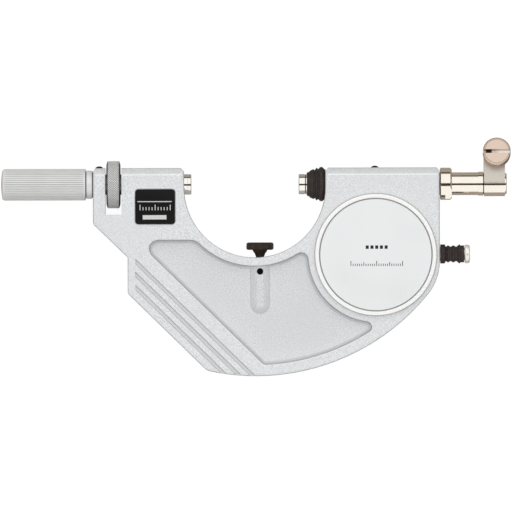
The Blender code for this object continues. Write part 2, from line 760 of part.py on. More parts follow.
def make_spindle(looks):
    """The adjustable spindle, whose tip is brazed on. It slides and its key screw keeps it from turning."""
    tail = -SPINDLE_LENGTH
    end = -SPINDLE_TIP - BRAZE
    chamfer = 2 * TIP_CHAMFER
    profile = [
        (tail, 0),
        (tail, SPINDLE_RADIUS - chamfer),
        (tail + chamfer, SPINDLE_RADIUS),
        (end, SPINDLE_RADIUS),
        (end, 0),
    ]
    place = (SPINDLE_FACE, 0, 0)
    spindle = add_object("spindle", turned(profile), looks["bright"], place)
    key = KEY_X - SPINDLE_FACE
    cut_key_slot(spindle, "spindle_key_slot", SPINDLE_RADIUS, key - SPINDLE_TRAVEL, key, place)
    tip = [
        (-SPINDLE_TIP, 0),
        (-SPINDLE_TIP, SPINDLE_RADIUS),
        (-TIP_CHAMFER, SPINDLE_RADIUS),
        (0, SPINDLE_RADIUS - TIP_CHAMFER),
        (0, 0),
    ]
    add_object("spindle_tip", turned(tip), looks["bright"], place)


def make_wheel(looks):
    """The knurled nut that moves the spindle, held between the walls of its slot."""
    half = WHEEL_WIDTH / 2
    bore = SPINDLE_RADIUS + GAP
    profile = [
        (-half, bore),
        (-half, WHEEL_RADIUS - WHEEL_FLANK),
        (-half + WHEEL_CHAMFER, WHEEL_RADIUS),
        (half - WHEEL_CHAMFER, WHEEL_RADIUS),
        (half, WHEEL_RADIUS - WHEEL_FLANK),
        (half, bore),
    ]
    add_object("adjusting_wheel", turned(profile, steps=48, hollow=True), looks["wheel"], (WHEEL_X, 0, 0))


def make_bush(looks):
    """The neck that the cap screws onto. Its right end sits in the head, and the key screw crosses it."""
    bore = SPINDLE_RADIUS + GAP
    neck = -NECK_LENGTH
    edge = TIP_CHAMFER
    profile = [
        (BUSH_SEAT, bore),
        (neck - BUSH_THREAD, bore),
        (neck - BUSH_THREAD, BUSH_RADIUS),
        (neck, BUSH_RADIUS),
        (neck, NECK_RADIUS),
        (-GAP - edge, NECK_RADIUS),
        (-GAP, NECK_RADIUS - edge),
        (-GAP, BUSH_RADIUS),
        (BUSH_SEAT, BUSH_RADIUS),
    ]
    bush = add_object("clamp_bush", turned(profile, hollow=True), looks["satin"], (HEAD_LEFT, 0, 0))
    hole = rod(0, BUSH_RADIUS + PAST, KEY_RADIUS + GAP, "Y", 20)
    cut(bush, "bush_key_hole", hole, (KEY_X, 0, 0))


def make_cap(looks):
    """The fluted cap over the tail of the spindle."""
    flutes = []
    for number in range(2 * FLUTE_COUNT):
        turn = math.pi * number / FLUTE_COUNT
        flutes.append((CAP_RADIUS - FLUTE_DEPTH * (number % 2), turn))
    stations = [
        (CAP_ROUND * (1 - math.sin(turn)) - CAP_LENGTH, 1 - CAP_ROUND * (1 - math.cos(turn)) / CAP_RADIUS)
        for turn in [math.radians(90 - 45 * step) for step in range(3)]
    ]
    stations += [(-TIP_CHAMFER, 1), (0, 1 - TIP_CHAMFER / CAP_RADIUS)]
    rings = [
        [(x, radius * scale * math.cos(turn), radius * scale * math.sin(turn)) for radius, turn in flutes]
        for x, scale in stations
    ]
    place = (CAP_RIGHT, 0, 0)
    cap = add_object("spindle_cap", lofted(rings), looks["satin"], place, sharp=20.0)
    thread = BUSH_RADIUS + GAP
    bore = SPINDLE_RADIUS + GAP
    hollow = [
        (PAST, 0),
        (PAST, thread),
        (-BUSH_THREAD - GAP, thread),
        (-BUSH_THREAD - GAP, bore),
        (-CAP_LENGTH + CAP_END_WALL, bore),
        (-CAP_LENGTH + CAP_END_WALL, 0),
    ]
    cut(cap, "cap_bore", turned(hollow), place)


def make_backrest(looks):
    """The stop under the workpiece. Its stem slides in the boss until the set screw holds it."""
    low = -BACKREST_HEIGHT
    middle = (BACKREST_RADIUS / 2 + BACKREST_STEM) / 2
    profile = [
        (0, 0),
        (0, BACKREST_RADIUS - BACKREST_EDGE),
        (-BACKREST_EDGE, BACKREST_RADIUS),
        (low + BACKREST_EDGE, BACKREST_RADIUS),
        (low, BACKREST_RADIUS - BACKREST_EDGE),
        (low, BACKREST_RADIUS / 2 + BACKREST_EDGE / 2),
        (low - BACKREST_FLARE / 4, BACKREST_RADIUS / 2),
        (low - BACKREST_FLARE / 2, middle),
        (low - BACKREST_FLARE, BACKREST_STEM),
        (-BACKREST_LENGTH, BACKREST_STEM),
        (-BACKREST_LENGTH, 0),
    ]
    add_object("backrest", turned(profile, "Y", 28), looks["dark"], (BOSS_X, BACKREST_TOP, 0))
    low = BACKREST_STEM + GAP
    place = (BOSS_X, SET_SCREW_Y, 0)
    top = low + SET_SCREW_LENGTH
    body = rod(low, top, SET_SCREW_RADIUS, "Z", 20)
    screw = add_object("backrest_set_screw", body, looks["black"], place)
    cut(screw, "set_screw_socket", rod(top - SET_SCREW_LENGTH / 2, top + PAST, SET_SCREW_HEX, "Z", 6), place)


def make_anvil(looks):
    """The sprung anvil: a tip, a shank with a key slot and a notch, and the rod that the indicator feels."""
    tip = [
        (0, 0),
        (0, ANVIL_RADIUS - TIP_CHAMFER),
        (TIP_CHAMFER, ANVIL_RADIUS),
        (ANVIL_TIP, ANVIL_RADIUS),
        (ANVIL_TIP, 0),
    ]
    add_object("anvil_tip", turned(tip), looks["bright"])
    start = ANVIL_TIP + BRAZE
    waist = ANVIL_RADIUS - GAP
    profile = [
        (start, 0),
        (start, waist),
        (start + GAP, waist),
        (start + GAP, ANVIL_RADIUS),
        (ANVIL_SHOULDER, ANVIL_RADIUS),
        (ANVIL_SHOULDER, ANVIL_ROD),
        (ANVIL_END, ANVIL_ROD),
        (ANVIL_END, 0),
    ]
    anvil = add_object("anvil_spindle", turned(profile), looks["bright"])
    cut_key_slot(anvil, "anvil_key_slot", ANVIL_RADIUS, ANVIL_KEY_X - ANVIL_TRAVEL, ANVIL_KEY_X, (0, 0, 0))
    half = LEVER_HEAD + GAP
    roof = LEVER_HEAD_Y + LEVER_HEAD + GAP
    notch = block((-half, -ANVIL_RADIUS - PAST, -LEVER_THICKNESS), (half, roof, LEVER_THICKNESS))
    cut(anvil, "lever_notch", notch, (LEVER_X, 0, 0))


def make_spring(looks):
    """The coil spring, from the anvil's shoulder to the end of the stem tube."""
    first = ANVIL_SHOULDER + GAP + SPRING_WIRE
    last = STEM_START - GAP - SPRING_WIRE
    steps = 9 * SPRING_TURNS
    shape = bmesh.new()
    stand = Matrix.Translation((first, SPRING_RADIUS, 0))
    ring = bmesh.ops.create_circle(shape, cap_ends=True, segments=5, radius=SPRING_WIRE, matrix=stand)
    bmesh.ops.spin(
        shape,
        geom=ring["verts"] + shape.edges[:] + shape.faces[:],
        cent=(0, 0, 0),
        axis=AXES["X"],
        dvec=((last - first) / steps, 0, 0),
        angle=math.tau * SPRING_TURNS,
        steps=steps,
    )
    add_object("anvil_spring", shape, looks["steel"])


def bellows(name, folds, fold, ends, inside, material, place=(0, 0, 0)):
    """A rubber bellows between two places along X, from its folds as shares of a fold's height."""
    start, end = ends
    outer = [(start + (end - start) * share, inside + fold * rise) for share, rise, wall in folds]
    inner = [(start + (end - start) * share, inside + fold * (rise - wall)) for share, rise, wall in folds]
    shape = turned(outer + inner[::-1], steps=20, hollow=True)
    add_object(name, shape, material, place, sharp=50.0)


def make_anvil_boot(looks):
    """Three stepped folds between the anvil and the head, where the last one is seated."""
    ends = (ANVIL_TIP + 3 * GAP, THROAT_RIGHT + BOOT_SEAT_DEPTH - GAP)
    bellows("anvil_boot", ANVIL_BOOT, ANVIL_FOLD, ends, ANVIL_RADIUS + GAP, looks["rubber"])


def lever_outline():
    """The lever about its pivot: a round head, a neck, the hub, an arm and a round foot."""
    head = math.degrees(math.acos(LEVER_NECK / LEVER_HEAD))
    hub_up = math.degrees(math.acos(LEVER_NECK / LEVER_HUB))
    hub_down = math.degrees(math.acos(LEVER_ARM / LEVER_HUB))
    foot = math.degrees(math.acos(LEVER_ARM / LEVER_FOOT))
    return [
        *arc((0, LEVER_RISE), LEVER_HEAD, -head, 180 + head, 14),
        *arc((0, 0), LEVER_HUB, 180 - hub_up, 180 + hub_down, 8),
        *arc((0, -LEVER_DROP), LEVER_FOOT, 180 - foot, 360 + foot, 14),
        *arc((0, 0), LEVER_HUB, -hub_down, hub_up, 8),
    ]


def make_lever(looks):
    """The lever in the chamber, its shouldered pin and the ring that keeps it on."""
    half = LEVER_THICKNESS / 2
    place = (LEVER_X, PIVOT_Y, 0)
    lever = add_object("retract_lever", slab(lever_outline(), -half, half), looks["steel"], place)
    cut(lever, "lever_hole", rod(-half - PAST, half + PAST, PIN_RADIUS + GAP, "Z", 24), place)
    shoulder = CHAMBER_FLOOR + GAP
    clip = half + GAP
    neck = PIN_RADIUS - PIN_GROOVE
    profile = [
        (CHAMBER_FLOOR - PIN_DEPTH, 0),
        (CHAMBER_FLOOR - PIN_DEPTH, PIN_RADIUS),
        (shoulder, PIN_RADIUS),
        (shoulder, PIN_SHOULDER),
        (-half - GAP, PIN_SHOULDER),
        (-half - GAP, PIN_RADIUS),
        (clip, PIN_RADIUS),
        (clip, neck),
        (clip + CLIP_THICKNESS, neck),
        (clip + CLIP_THICKNESS, PIN_RADIUS),
        (clip + CLIP_THICKNESS + PIN_END, PIN_RADIUS),
        (clip + CLIP_THICKNESS + PIN_END, 0),
    ]
    add_object("lever_pivot_pin", turned(profile, "Z", 18), looks["steel"], place)
    inside = neck + GAP
    ring = [(clip, inside), (clip, CLIP_RADIUS), (clip + CLIP_THICKNESS, CLIP_RADIUS)]
    ring.append((clip + CLIP_THICKNESS, inside))
    add_object("pivot_clip", turned(ring, "Z", 20, hollow=True), looks["black"], place)


def make_button(looks):
    """The push rod from the lever's foot to the button cap, its guide bush and its bellows."""
    chamber_right = COVER_CENTRE.x + CHAMBER_RADIUS
    guide_start = chamber_right + GAP
    guide_end = HEAD_RIGHT + GUIDE_PROUD
    collar_end = guide_start - GAP
    rod_start = LEVER_X + LEVER_FOOT + GAP
    cap_start = BUTTON_FACE_X - BUTTON_LENGTH
    rod_end = BUTTON_FACE_X - BUTTON_WALL - GAP
    push = [
        (rod_start, 0),
        (rod_start, ROD_RADIUS),
        (collar_end - ROD_COLLAR_LENGTH, ROD_RADIUS),
        (collar_end - ROD_COLLAR_LENGTH, ROD_COLLAR),
        (collar_end, ROD_COLLAR),
        (collar_end, ROD_RADIUS),
        (rod_end, ROD_RADIUS),
        (rod_end, 0),
    ]
    place = (0, BUTTON_Y, 0)
    add_object("push_rod", turned(push, steps=20), looks["steel"], place)
    bore = ROD_RADIUS + GAP
    guide = [(guide_start, bore), (guide_start, GUIDE_RADIUS), (guide_end, GUIDE_RADIUS), (guide_end, bore)]
    add_object("rod_guide", turned(guide, steps=20, hollow=True), looks["steel"], place)
    edge_x, edge_radius = BUTTON_FACE_X - BUTTON_EDGE, BUTTON_RADIUS - BUTTON_EDGE
    edge = [
        (edge_x + BUTTON_EDGE * math.sin(turn), edge_radius + BUTTON_EDGE * math.cos(turn))
        for turn in [math.radians(30 * step) for step in range(4)]
    ]
    cap = [
        (BUTTON_FACE_X - BUTTON_WALL, 0),
        (BUTTON_FACE_X - BUTTON_WALL, bore),
        (cap_start - BUTTON_NECK_LENGTH, bore),
        (cap_start - BUTTON_NECK_LENGTH, BUTTON_NECK),
        (cap_start, BUTTON_NECK),
        (cap_start, BUTTON_RADIUS - GAP),
        (cap_start + GAP, BUTTON_RADIUS),
        *edge,
        (BUTTON_FACE_X, 0),
    ]
    add_object("button_cap", turned(cap, steps=24), looks["bright"], place)

    ends = (HEAD_RIGHT + GAP, cap_start - GAP)
    bellows("button_boot", BUTTON_BOOT, BUTTON_FOLD, ends, bore, looks["rubber"], place)


def make_stem(looks):
    """The tube that takes the indicator's stem, and the nut that locks it in the head."""
    bore = ANVIL_ROD + 2 * GAP
    bead = CLAMP_X - CLAMP_WIDTH / 2 - GAP
    edge = TIP_CHAMFER
    profile = [
        (STEM_START, bore),
        (STEM_START, STEM_RADIUS),
        (bead - STEM_BEAD_LENGTH, STEM_RADIUS),
        (bead - STEM_BEAD_LENGTH, STEM_BEAD),
        (bead, STEM_BEAD),
        (bead, STEM_END_RADIUS),
        (STEM_END_X - edge, STEM_END_RADIUS),
        (STEM_END_X, STEM_END_RADIUS - edge),
        (STEM_END_X, STEM_BORE),
        (STEM_END_X - STEM_BORE_DEPTH, STEM_BORE),
        (STEM_END_X - STEM_BORE_DEPTH, bore),
    ]
    stem = add_object("stem_tube", turned(profile, steps=32, hollow=True), looks["nickel"])
    slit = block((bead, 0, -CLAMP_SLIT / 3), (STEM_END_X + PAST, STEM_RADIUS + PAST, CLAMP_SLIT / 3))
    cut(stem, "stem_slit", slit, turn=(CLAMP_LEAN, 0, 0))

    start = HEAD_RIGHT + GAP
    end = HEAD_RIGHT + GAP + NUT_LENGTH
    bore = STEM_RADIUS + GAP
    nut = [
        (start, bore),
        (start, NUT_RADIUS - NUT_CHAMFER / 2),
        (start + NUT_CHAMFER / 2, NUT_RADIUS),
        (end - NUT_CHAMFER, NUT_RADIUS),
        (end, NUT_RADIUS - NUT_CHAMFER),
        (end, bore),
    ]
    nut = add_object("stem_lock_nut", turned(nut, steps=36, hollow=True), looks["nickel"])
    flats = block((end - NUT_FLAT_LENGTH, NUT_FLAT, -NUT_RADIUS), (end + PAST, NUT_RADIUS + PAST, NUT_RADIUS))
    under = (end - NUT_FLAT_LENGTH, -NUT_RADIUS - PAST, -NUT_RADIUS)
    other = block(under, (end + PAST, -NUT_FLAT, NUT_RADIUS))
    cut(nut, "nut_flat_front", flats, turn=(NUT_TURN, 0, 0))
    cut(nut, "nut_flat_back", other, turn=(NUT_TURN, 0, 0))


def make_clamp(looks):
    """The split clamp round the end of the tube, leaning back a little, and its slotted screw."""
    half = CLAMP_WIDTH / 2
    lean = (CLAMP_LEAN, 0, 0)
    place = (CLAMP_X, 0, 0)
    low = -CLAMP_RADIUS
    side = [Vector((-half, low)), Vector((half, low)), *arc((0, SCREW_RISE), half, 0, 180, 16)]
    clamp = add_object("indicator_clamp", slab(side, low, -low), looks["nickel"], place)
    clamp.rotation_euler = lean
    section = [*arc((0, 0), CLAMP_RADIUS, -180, 0, 20)]
    top = SCREW_RISE + half + PAST
    section = [(p.y, p.x) for p in section] + [(top, CLAMP_RADIUS), (top, -CLAMP_RADIUS)]
    ends = (-half - PAST, half + PAST)
    band = add_object("clamp_section", lofted([[(x, y, z) for y, z in section] for x in ends]), None, place)
    band.rotation_euler = lean
    boolean(clamp, band, "INTERSECT")
    cut(clamp, "clamp_bore", rod(*ends, STEM_END_RADIUS + GAP, "X", 40), place, lean)
    slit = block((ends[0], 0, -CLAMP_SLIT / 2), (ends[1], top, CLAMP_SLIT / 2))
    cut(clamp, "clamp_slit", slit, place, lean)
    hole = rod(low - PAST, -low + PAST, SCREW_RADIUS + GAP, "Z", 24)
    centre = Matrix.Rotation(CLAMP_LEAN, 4, "X") @ Vector((SCREW_SIDE, SCREW_RISE, 0)) + Vector(place)
    cut(clamp, "clamp_screw_hole", hole, centre, lean)

    head = CLAMP_RADIUS + GAP
    end = head + SCREW_HEAD_LENGTH
    profile = [
        (low + GAP, 0),
        (low + GAP, SCREW_RADIUS),
        (head, SCREW_RADIUS),
        (head, SCREW_HEAD - SCREW_CHAMFER),
        (head + SCREW_CHAMFER, SCREW_HEAD),
        (end - SCREW_CHAMFER, SCREW_HEAD),
        (end, SCREW_HEAD - SCREW_CHAMFER),
        (end, 0),
    ]
    screw = add_object("clamp_screw", turned(profile, "Z", 28), looks["nickel"], centre)
    screw.rotation_euler = lean
    wide = SCREW_HEAD + PAST
    groove = block((-wide, -SCREW_SLOT / 2, end - SCREW_SLOT_DEPTH), (wide, SCREW_SLOT / 2, end + PAST))
    cut(screw, "clamp_screw_slot", groove, centre, lean)


def carry(parent, *children):
    """Parents pieces that move together, each kept where it stands."""
    holder = bpy.data.objects[parent]
    for name in children:
        child = bpy.data.objects[name]
        child.location -= holder.location
        child.parent = holder


def main():
    for item in list(bpy.data.objects):
        bpy.data.objects.remove(item)
    looks = make_finishes()
    make_frame(looks)
    make_nameplate(looks)
    make_cover(looks)
    make_key_screws(looks)
    make_spindle(looks)
    make_wheel(looks)
    make_bush(looks)
    make_cap(looks)
    make_backrest(looks)
    make_anvil(looks)
    make_spring(looks)
    make_anvil_boot(looks)
    make_lever(looks)
    make_button(looks)
    make_stem(looks)
    make_clamp(looks)
    carry("spindle", "spindle_tip")
    carry("anvil_spindle", "anvil_tip")
    carry("push_rod", "button_cap")


main()
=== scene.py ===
"""Finishes of a snap micrometer that lies on its back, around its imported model.

Sizes are in metres. +X runs from the spindle to the anvil, +Y out of the throat, +Z to the camera.
"""

import json
import math

import bmesh
import bpy
from bpy.props import FloatProperty, FloatVectorProperty, IntProperty, PointerProperty
from mathutils import Matrix, Vector
from mathutils.bvhtree import BVHTree


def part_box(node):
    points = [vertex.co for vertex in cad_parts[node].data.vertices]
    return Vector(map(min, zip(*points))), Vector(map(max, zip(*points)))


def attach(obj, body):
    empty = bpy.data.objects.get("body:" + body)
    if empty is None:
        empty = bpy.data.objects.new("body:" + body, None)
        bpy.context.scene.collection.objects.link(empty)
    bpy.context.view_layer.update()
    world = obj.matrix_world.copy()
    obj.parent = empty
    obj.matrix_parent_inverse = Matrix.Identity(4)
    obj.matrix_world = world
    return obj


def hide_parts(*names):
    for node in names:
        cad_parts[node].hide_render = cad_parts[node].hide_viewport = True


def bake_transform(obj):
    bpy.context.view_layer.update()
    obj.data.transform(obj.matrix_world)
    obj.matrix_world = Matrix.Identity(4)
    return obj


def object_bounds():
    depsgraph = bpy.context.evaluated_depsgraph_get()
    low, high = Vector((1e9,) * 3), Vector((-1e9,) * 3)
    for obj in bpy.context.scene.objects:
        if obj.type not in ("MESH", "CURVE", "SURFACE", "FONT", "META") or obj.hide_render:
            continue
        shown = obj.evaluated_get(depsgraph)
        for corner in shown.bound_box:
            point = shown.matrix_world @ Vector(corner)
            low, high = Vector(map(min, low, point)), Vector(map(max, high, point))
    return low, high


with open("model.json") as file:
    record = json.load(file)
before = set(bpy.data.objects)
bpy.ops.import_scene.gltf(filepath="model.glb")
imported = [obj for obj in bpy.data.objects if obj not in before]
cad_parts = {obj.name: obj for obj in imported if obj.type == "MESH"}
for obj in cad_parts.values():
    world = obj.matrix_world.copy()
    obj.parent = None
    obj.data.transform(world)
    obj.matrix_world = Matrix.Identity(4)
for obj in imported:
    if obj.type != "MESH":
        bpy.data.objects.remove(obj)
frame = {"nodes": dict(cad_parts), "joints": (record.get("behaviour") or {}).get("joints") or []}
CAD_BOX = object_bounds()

bl_info = {
    "name": "Snap Micrometer Finishes",
    "version": (1, 0, 0),
    "blender": (4, 5, 0),
    "location": "View3D > Sidebar > Micrometer",
    "description": "Builds the finishes and fine pieces of a snap micrometer around its packed model",
    "category": "Object",
}

AXES = {"X": Vector((1, 0, 0)), "Y": Vector((0, 1, 0)), "Z": Vector((0, 0, 1))}
MERGE = 1e-6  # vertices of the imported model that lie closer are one
FLAT = math.radians(0.6)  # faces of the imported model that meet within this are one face
COVER_STEPS = 160  # round the cover and its disc
BELLOWS_STEPS = 96
CAP_STEPS = 10  # for each flute of the cap
KNURL_STEPS = 4  # for each diamond round the wheel

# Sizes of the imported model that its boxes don't give
WHEEL_CHAMFER = 0.0005  # along the axis
WHEEL_FLANK = 0.0018  # the same chamfer, up the side
PLATE_CORNER = 0.0014
HEAD_ROUND = 0.0034  # along the tops of the heads
CLEARANCE = 0.0003  # between a bore and what runs in it
THREAD_PITCH = 0.001  # of the spindle

# The casting, and the marks on its faces that its paint reads for its painted highlight and painted shade
HEAD_FLAT = 0.75  # how far the bevel along the heads is from round, where 1 is flat
SLOPE = "slope"  # the fillets of the pocket and, at BOSS_SLOPE, the sides of its boss, which get painted shade
SLOPE_DEPTH = 0.0020  # below the faces, from where they are marked
BOSS_SLOPE = 0.36
BOSS_BOX = 0.0072, -0.060  # half the boss's width with its fillets, and a place below its end
OUTER = "outer"  # the rounds along the outside and, at HEAD_MARK, those along the tops of the heads, which get no painted shade of creases and grooves, and outside the heads no painted highlight
HEAD_MARK = 0.5
HEAD_BAND = 1.2 * HEAD_ROUND  # from the tops of the heads to below their rounds
LEAN = 0.12, 0.985  # how far a sloping face looks up, at the least and at the most
BESIDE = 0.003  # how far from an outer round there has to be nothing above or below

# Depths below the casting's faces at which its paint changes: LIP is a painted highlight on the lips of
# edges, and CREASE,
# GROOVE and BELOW are painted shade under those edges, at the feet of the grooves and below the faces. In
# each pair, the first is where a change is nothing and the second where it is full. Two pairs are the upper
# and the lower side of a line.
LIP = (0.00001, 0.00004), (0.00032, 0.00022)
CREASE = (0.00022, 0.00032), (0.00080, 0.00065)
GROOVE = (0.00050, 0.00075), (0.00160, 0.00120)
BELOW = 0.00035, 0.00080

# The stage
WHITE = (1.0, 1.0, 1.0, 1.0)
WARM_WHITE = (1.0, 0.995, 0.985, 1.0)  # of the light
WARM_DARK = (0.030, 0.018, 0.012, 1.0)  # of the room that polished metal shows
WARM_FLOOR = (1.0, 0.86, 0.74, 1.0)  # of the floor that polished metal shows
FLOOR_GREY = (0.80, 0.79, 0.78, 1.0)
FLOOR_WHITE = 1.08  # strength at which the camera sees the floor
FLOOR_SHINE = 0.30  # strength at which polished metal shows it
FLOOR_SHARE = 0.88  # of the two above, and the rest of the floor takes light and shadow
HORIZON = 0.02  # height over the horizon at which the sky starts
DIMMEST = 0.06  # level of the light from there
LAMP_SIZE = 0.8, 0.6
LAMP_PLACE = (-0.05, -0.15, 1.5)
SENSOR = 36.0  # millimetres


# Sizes and colours a user would change

def length(name, words, default, **more):
    return FloatProperty(name=name, description=words, default=default, unit="LENGTH", precision=5, **more)


def tint(name, words, default):
    return FloatVectorProperty(
        name=name, description=words, default=default, subtype="COLOR_GAMMA", size=3, min=0.0, max=1.0
    )


class MicrometerSizes(bpy.types.PropertyGroup):
    edge: length("Edge", "Width of the broken edge on machined pieces", 0.00012, min=0.0)
    knurl_pitch: length("Knurl pitch", "Width of one diamond of the wheel's knurl", 0.0011, min=0.0002)
    knurl_depth: length("Knurl depth", "Depth of the wheel's knurl", 0.00030, min=0.0)
    flute_count: IntProperty(name="Flutes", description="Grooves round the fluted cap", default=44, min=8)
    flute_depth: length("Flute depth", "Depth of the cap's grooves", 0.00020, min=0.0)
    flute_width: length("Flute width", "Width of the cap's grooves", 0.00044, min=0.0)
    print_height: length("Print height", "Thickness of the print on the plate and the disc", 0.00003, min=0.0)


class MicrometerColours(bpy.types.PropertyGroup):
    paint: tint("Paint", "Hammered paint of the frame", (0.865, 0.873, 0.880))
    satin: tint("Satin chrome", "Cap and neck", (0.890, 0.892, 0.892))
    knurl: tint("Knurl", "Adjusting wheel", (0.900, 0.900, 0.900))
    steel: tint("Steel", "Spindle, anvil and button", (0.985, 0.972, 0.950))
    nickel: tint("Nickel", "Tube, nut and clamp", (0.985, 0.955, 0.905))
    screw: tint("Clamp screw", "Slotted screw of the clamp", (0.900, 0.810, 0.740))
    rim: tint("Rim", "Rim of the round cover", (0.990, 0.990, 0.985))
    disc: tint("Disc", "Disc in the round cover", (0.925, 0.935, 0.938))
    rubber: tint("Rubber", "Bellows", (0.190, 0.160, 0.150))
    dark: tint("Backrest", "Blackened backrest", (0.270, 0.225, 0.200))
    black: tint("Black", "Small screws", (0.085, 0.080, 0.080))
    plate: tint("Plate", "Ground of the nameplate", (0.060, 0.052, 0.055))
    ink: tint("Ink", "Print on the disc", (0.090, 0.085, 0.095))
    silver: tint("Print", "Silver print on the nameplate", (0.850, 0.850, 0.845))
    # Colour of the painted highlight round the nameplate
    painted_halo: tint("Highlight", "Bead round the nameplate", (0.985, 0.985, 0.980))
    ground: tint("Ground steel", "Lever, push rod and spring", (0.780, 0.780, 0.770))


class MicrometerStage(bpy.types.PropertyGroup):
    camera_height: length("Camera height", "Height of the camera over the measuring axis", 6.0, min=0.3)
    camera_place: FloatVectorProperty(
        name="Camera place", description="Point below the camera", default=(-0.0188, -0.0346), size=2,
        subtype="XYZ_LENGTH", unit="LENGTH", precision=5,
    )
    camera_roll: FloatProperty(
        name="Camera roll", description="Roll of the camera", default=math.radians(-0.15), subtype="ANGLE"
    )
    view_width: length("View width", "Width of the view at the measuring axis", 0.24092, min=0.05)
    floor_size: length("Floor size", "Side of the floor", 3.0, min=0.5)
    floor_room: length("Floor room", "Room between the lowest point and the floor", 0.0001, min=0.0)
    sky: FloatProperty(
        name="Sky", description="Strength of the soft light from all round", default=0.97, min=0.0
    )
    shine: FloatProperty(
        name="Shine", description="Strength of the sky that polished metal shows", default=1.0, min=0.0
    )
    lamp: FloatProperty(
        name="Lamp", description="Power of the large soft lamp in watts", default=9.5, min=0.0
    )


def sizes():
    return bpy.context.scene.micrometer_sizes


def colours():
    return bpy.context.scene.micrometer_colours


# Shader maths

class Term:
    """A socket in a node tree that Python's arithmetic works on."""

    def __init__(self, nodes, socket):
        self.nodes = nodes
        self.socket = socket

    def maths(self, operation, *values):
        return self.nodes.maths(operation, self, *values)

    def wave(self):
        return self.maths("SINE")

    def __abs__(self):
        return self.maths("ABSOLUTE")

    def __add__(self, other):
        return self.maths("ADD", other)

    def __sub__(self, other):
        return self.maths("SUBTRACT", other)

    def __rsub__(self, other):
        return self.nodes.maths("SUBTRACT", other, self)

    def __mul__(self, other):
        return self.maths("MULTIPLY", other)

    def __truediv__(self, other):
        return self.maths("DIVIDE", other)

    def __rtruediv__(self, other):
        return self.nodes.maths("DIVIDE", other, self)

    __radd__ = __add__
    __rmul__ = __mul__

    def at_least(self, other):
        return self.maths("MAXIMUM", other)

    def ramp(self, low, high):
        """0 at low and 1 at high, smooth between them."""
        inputs = {"Value": self, "From Min": low, "From Max": high}
        return self.nodes.add("ShaderNodeMapRange", inputs, interpolation_type="SMOOTHSTEP").term()

    def band(self, rise, fall):
        """1 between two ramps."""
        return self.ramp(*rise) * self.ramp(*fall)


class Node:
    """A node whose outputs are read as terms."""

    def __init__(self, nodes, node):
        self.nodes = nodes
        self.node = node

    def term(self, output=0):
        return Term(self.nodes, self.node.outputs[output])


class Nodes:
    """A node tree that is filled by one method for any node."""

    def __init__(self, tree):
        self.tree = tree

    def add(self, kind, inputs=None, **settings):
        node = self.tree.nodes.new(kind)
        for name, value in settings.items():
            setattr(node, name, value)
        self.fill(node, inputs or {})
        return Node(self, node)

    def fill(self, node, values):
        """Links terms to a node's inputs, or gives these plain values."""
        for name, value in values.items():
            if isinstance(value, Term):
                self.tree.links.new(value.socket, node.inputs[name])
            else:
                node.inputs[name].default_value = value

    def maths(self, operation, *values):
        return self.add("ShaderNodeMath", dict(enumerate(values)), operation=operation).term()

    def vector(self, operation, *values, output="Vector"):
        return self.add("ShaderNodeVectorMath", dict(enumerate(values)), operation=operation).term(output)

    def place(self, scale=None):
        """Object coordinates in metres, which may be scaled about the origin."""
        where = self.add("ShaderNodeTexCoord").term("Object")
        return self.add("ShaderNodeMapping", {"Vector": where, "Scale": scale}).term() if scale else where

    def parts(self, vector=None):
        """X, Y and Z of a vector, or else of the place."""
        node = self.add("ShaderNodeSeparateXYZ", {0: vector or self.place()})
        return [node.term(i) for i in range(3)]

    def mark(self, name):
        return self.add("ShaderNodeAttribute", attribute_name=name).term("Fac")

    def grain(self, scale, detail=2.0, roughness=0.5, place=None):
        """Noise from 0 to 1, at so many cells to the metre."""
        inputs = {"Vector": place or self.place(), "Scale": scale, "Detail": detail, "Roughness": roughness}
        return self.add("ShaderNodeTexNoise", inputs).term("Fac")

    def cells(self, scale, smooth):
        """Smooth cells, so many to the metre, as how far a place is from the middle of its own."""
        inputs = {"Vector": self.place(), "Scale": scale, "Smoothness": smooth}
        return self.add("ShaderNodeTexVoronoi", inputs, feature="SMOOTH_F1").term("Distance")

    def facing(self, centre, lines):
        """The radius about a centre in the XY plane, and fine turning rings along it."""
        x, y, _ = self.parts()
        out = length_of(x - centre[0], y - centre[1])
        inputs = {"W": out * lines, "Scale": 1.0, "Detail": 2.0}
        return out, self.add("ShaderNodeTexNoise", inputs, noise_dimensions="1D").term("Fac")

    def mix(self, first, second, share):
        return self.add("ShaderNodeMix", {0: share, 6: first, 7: second}, data_type="RGBA").term(2)

    def tones(self, shade, colour, *layers):
        """A shade under layers, each of them a level of a colour and how much it covers."""
        for level, share in layers:
            shade = self.mix(shade, linear(colour, level), share)
        return shade

    def bump(self, height, distance, strength):
        inputs = {"Height": height, "Distance": distance, "Strength": strength}
        return self.add("ShaderNodeBump", inputs).term()


def length_of(first, second):
    """The length of two parts that stand square to each other."""
    return (first * first + second * second).maths("SQRT")


def linear(colour, level=1.0):
    """A colour as it looks on screen, made linear, at a level of its own brightness."""
    values = [c / 12.92 if c <= 0.04045 else ((c + 0.055) / 1.055) ** 2.4 for c in colour]
    return (*[min(1.0, v * level) for v in values], 1.0)


def finish(name, metallic=0.0):
    """A new material, its nodes and its plain shader."""
    material = bpy.data.materials.new(name)
    material.use_nodes = True
    shader = material.node_tree.nodes["Principled BSDF"]
    shader.inputs["Metallic"].default_value = metallic
    return material, Nodes(material.node_tree), shader


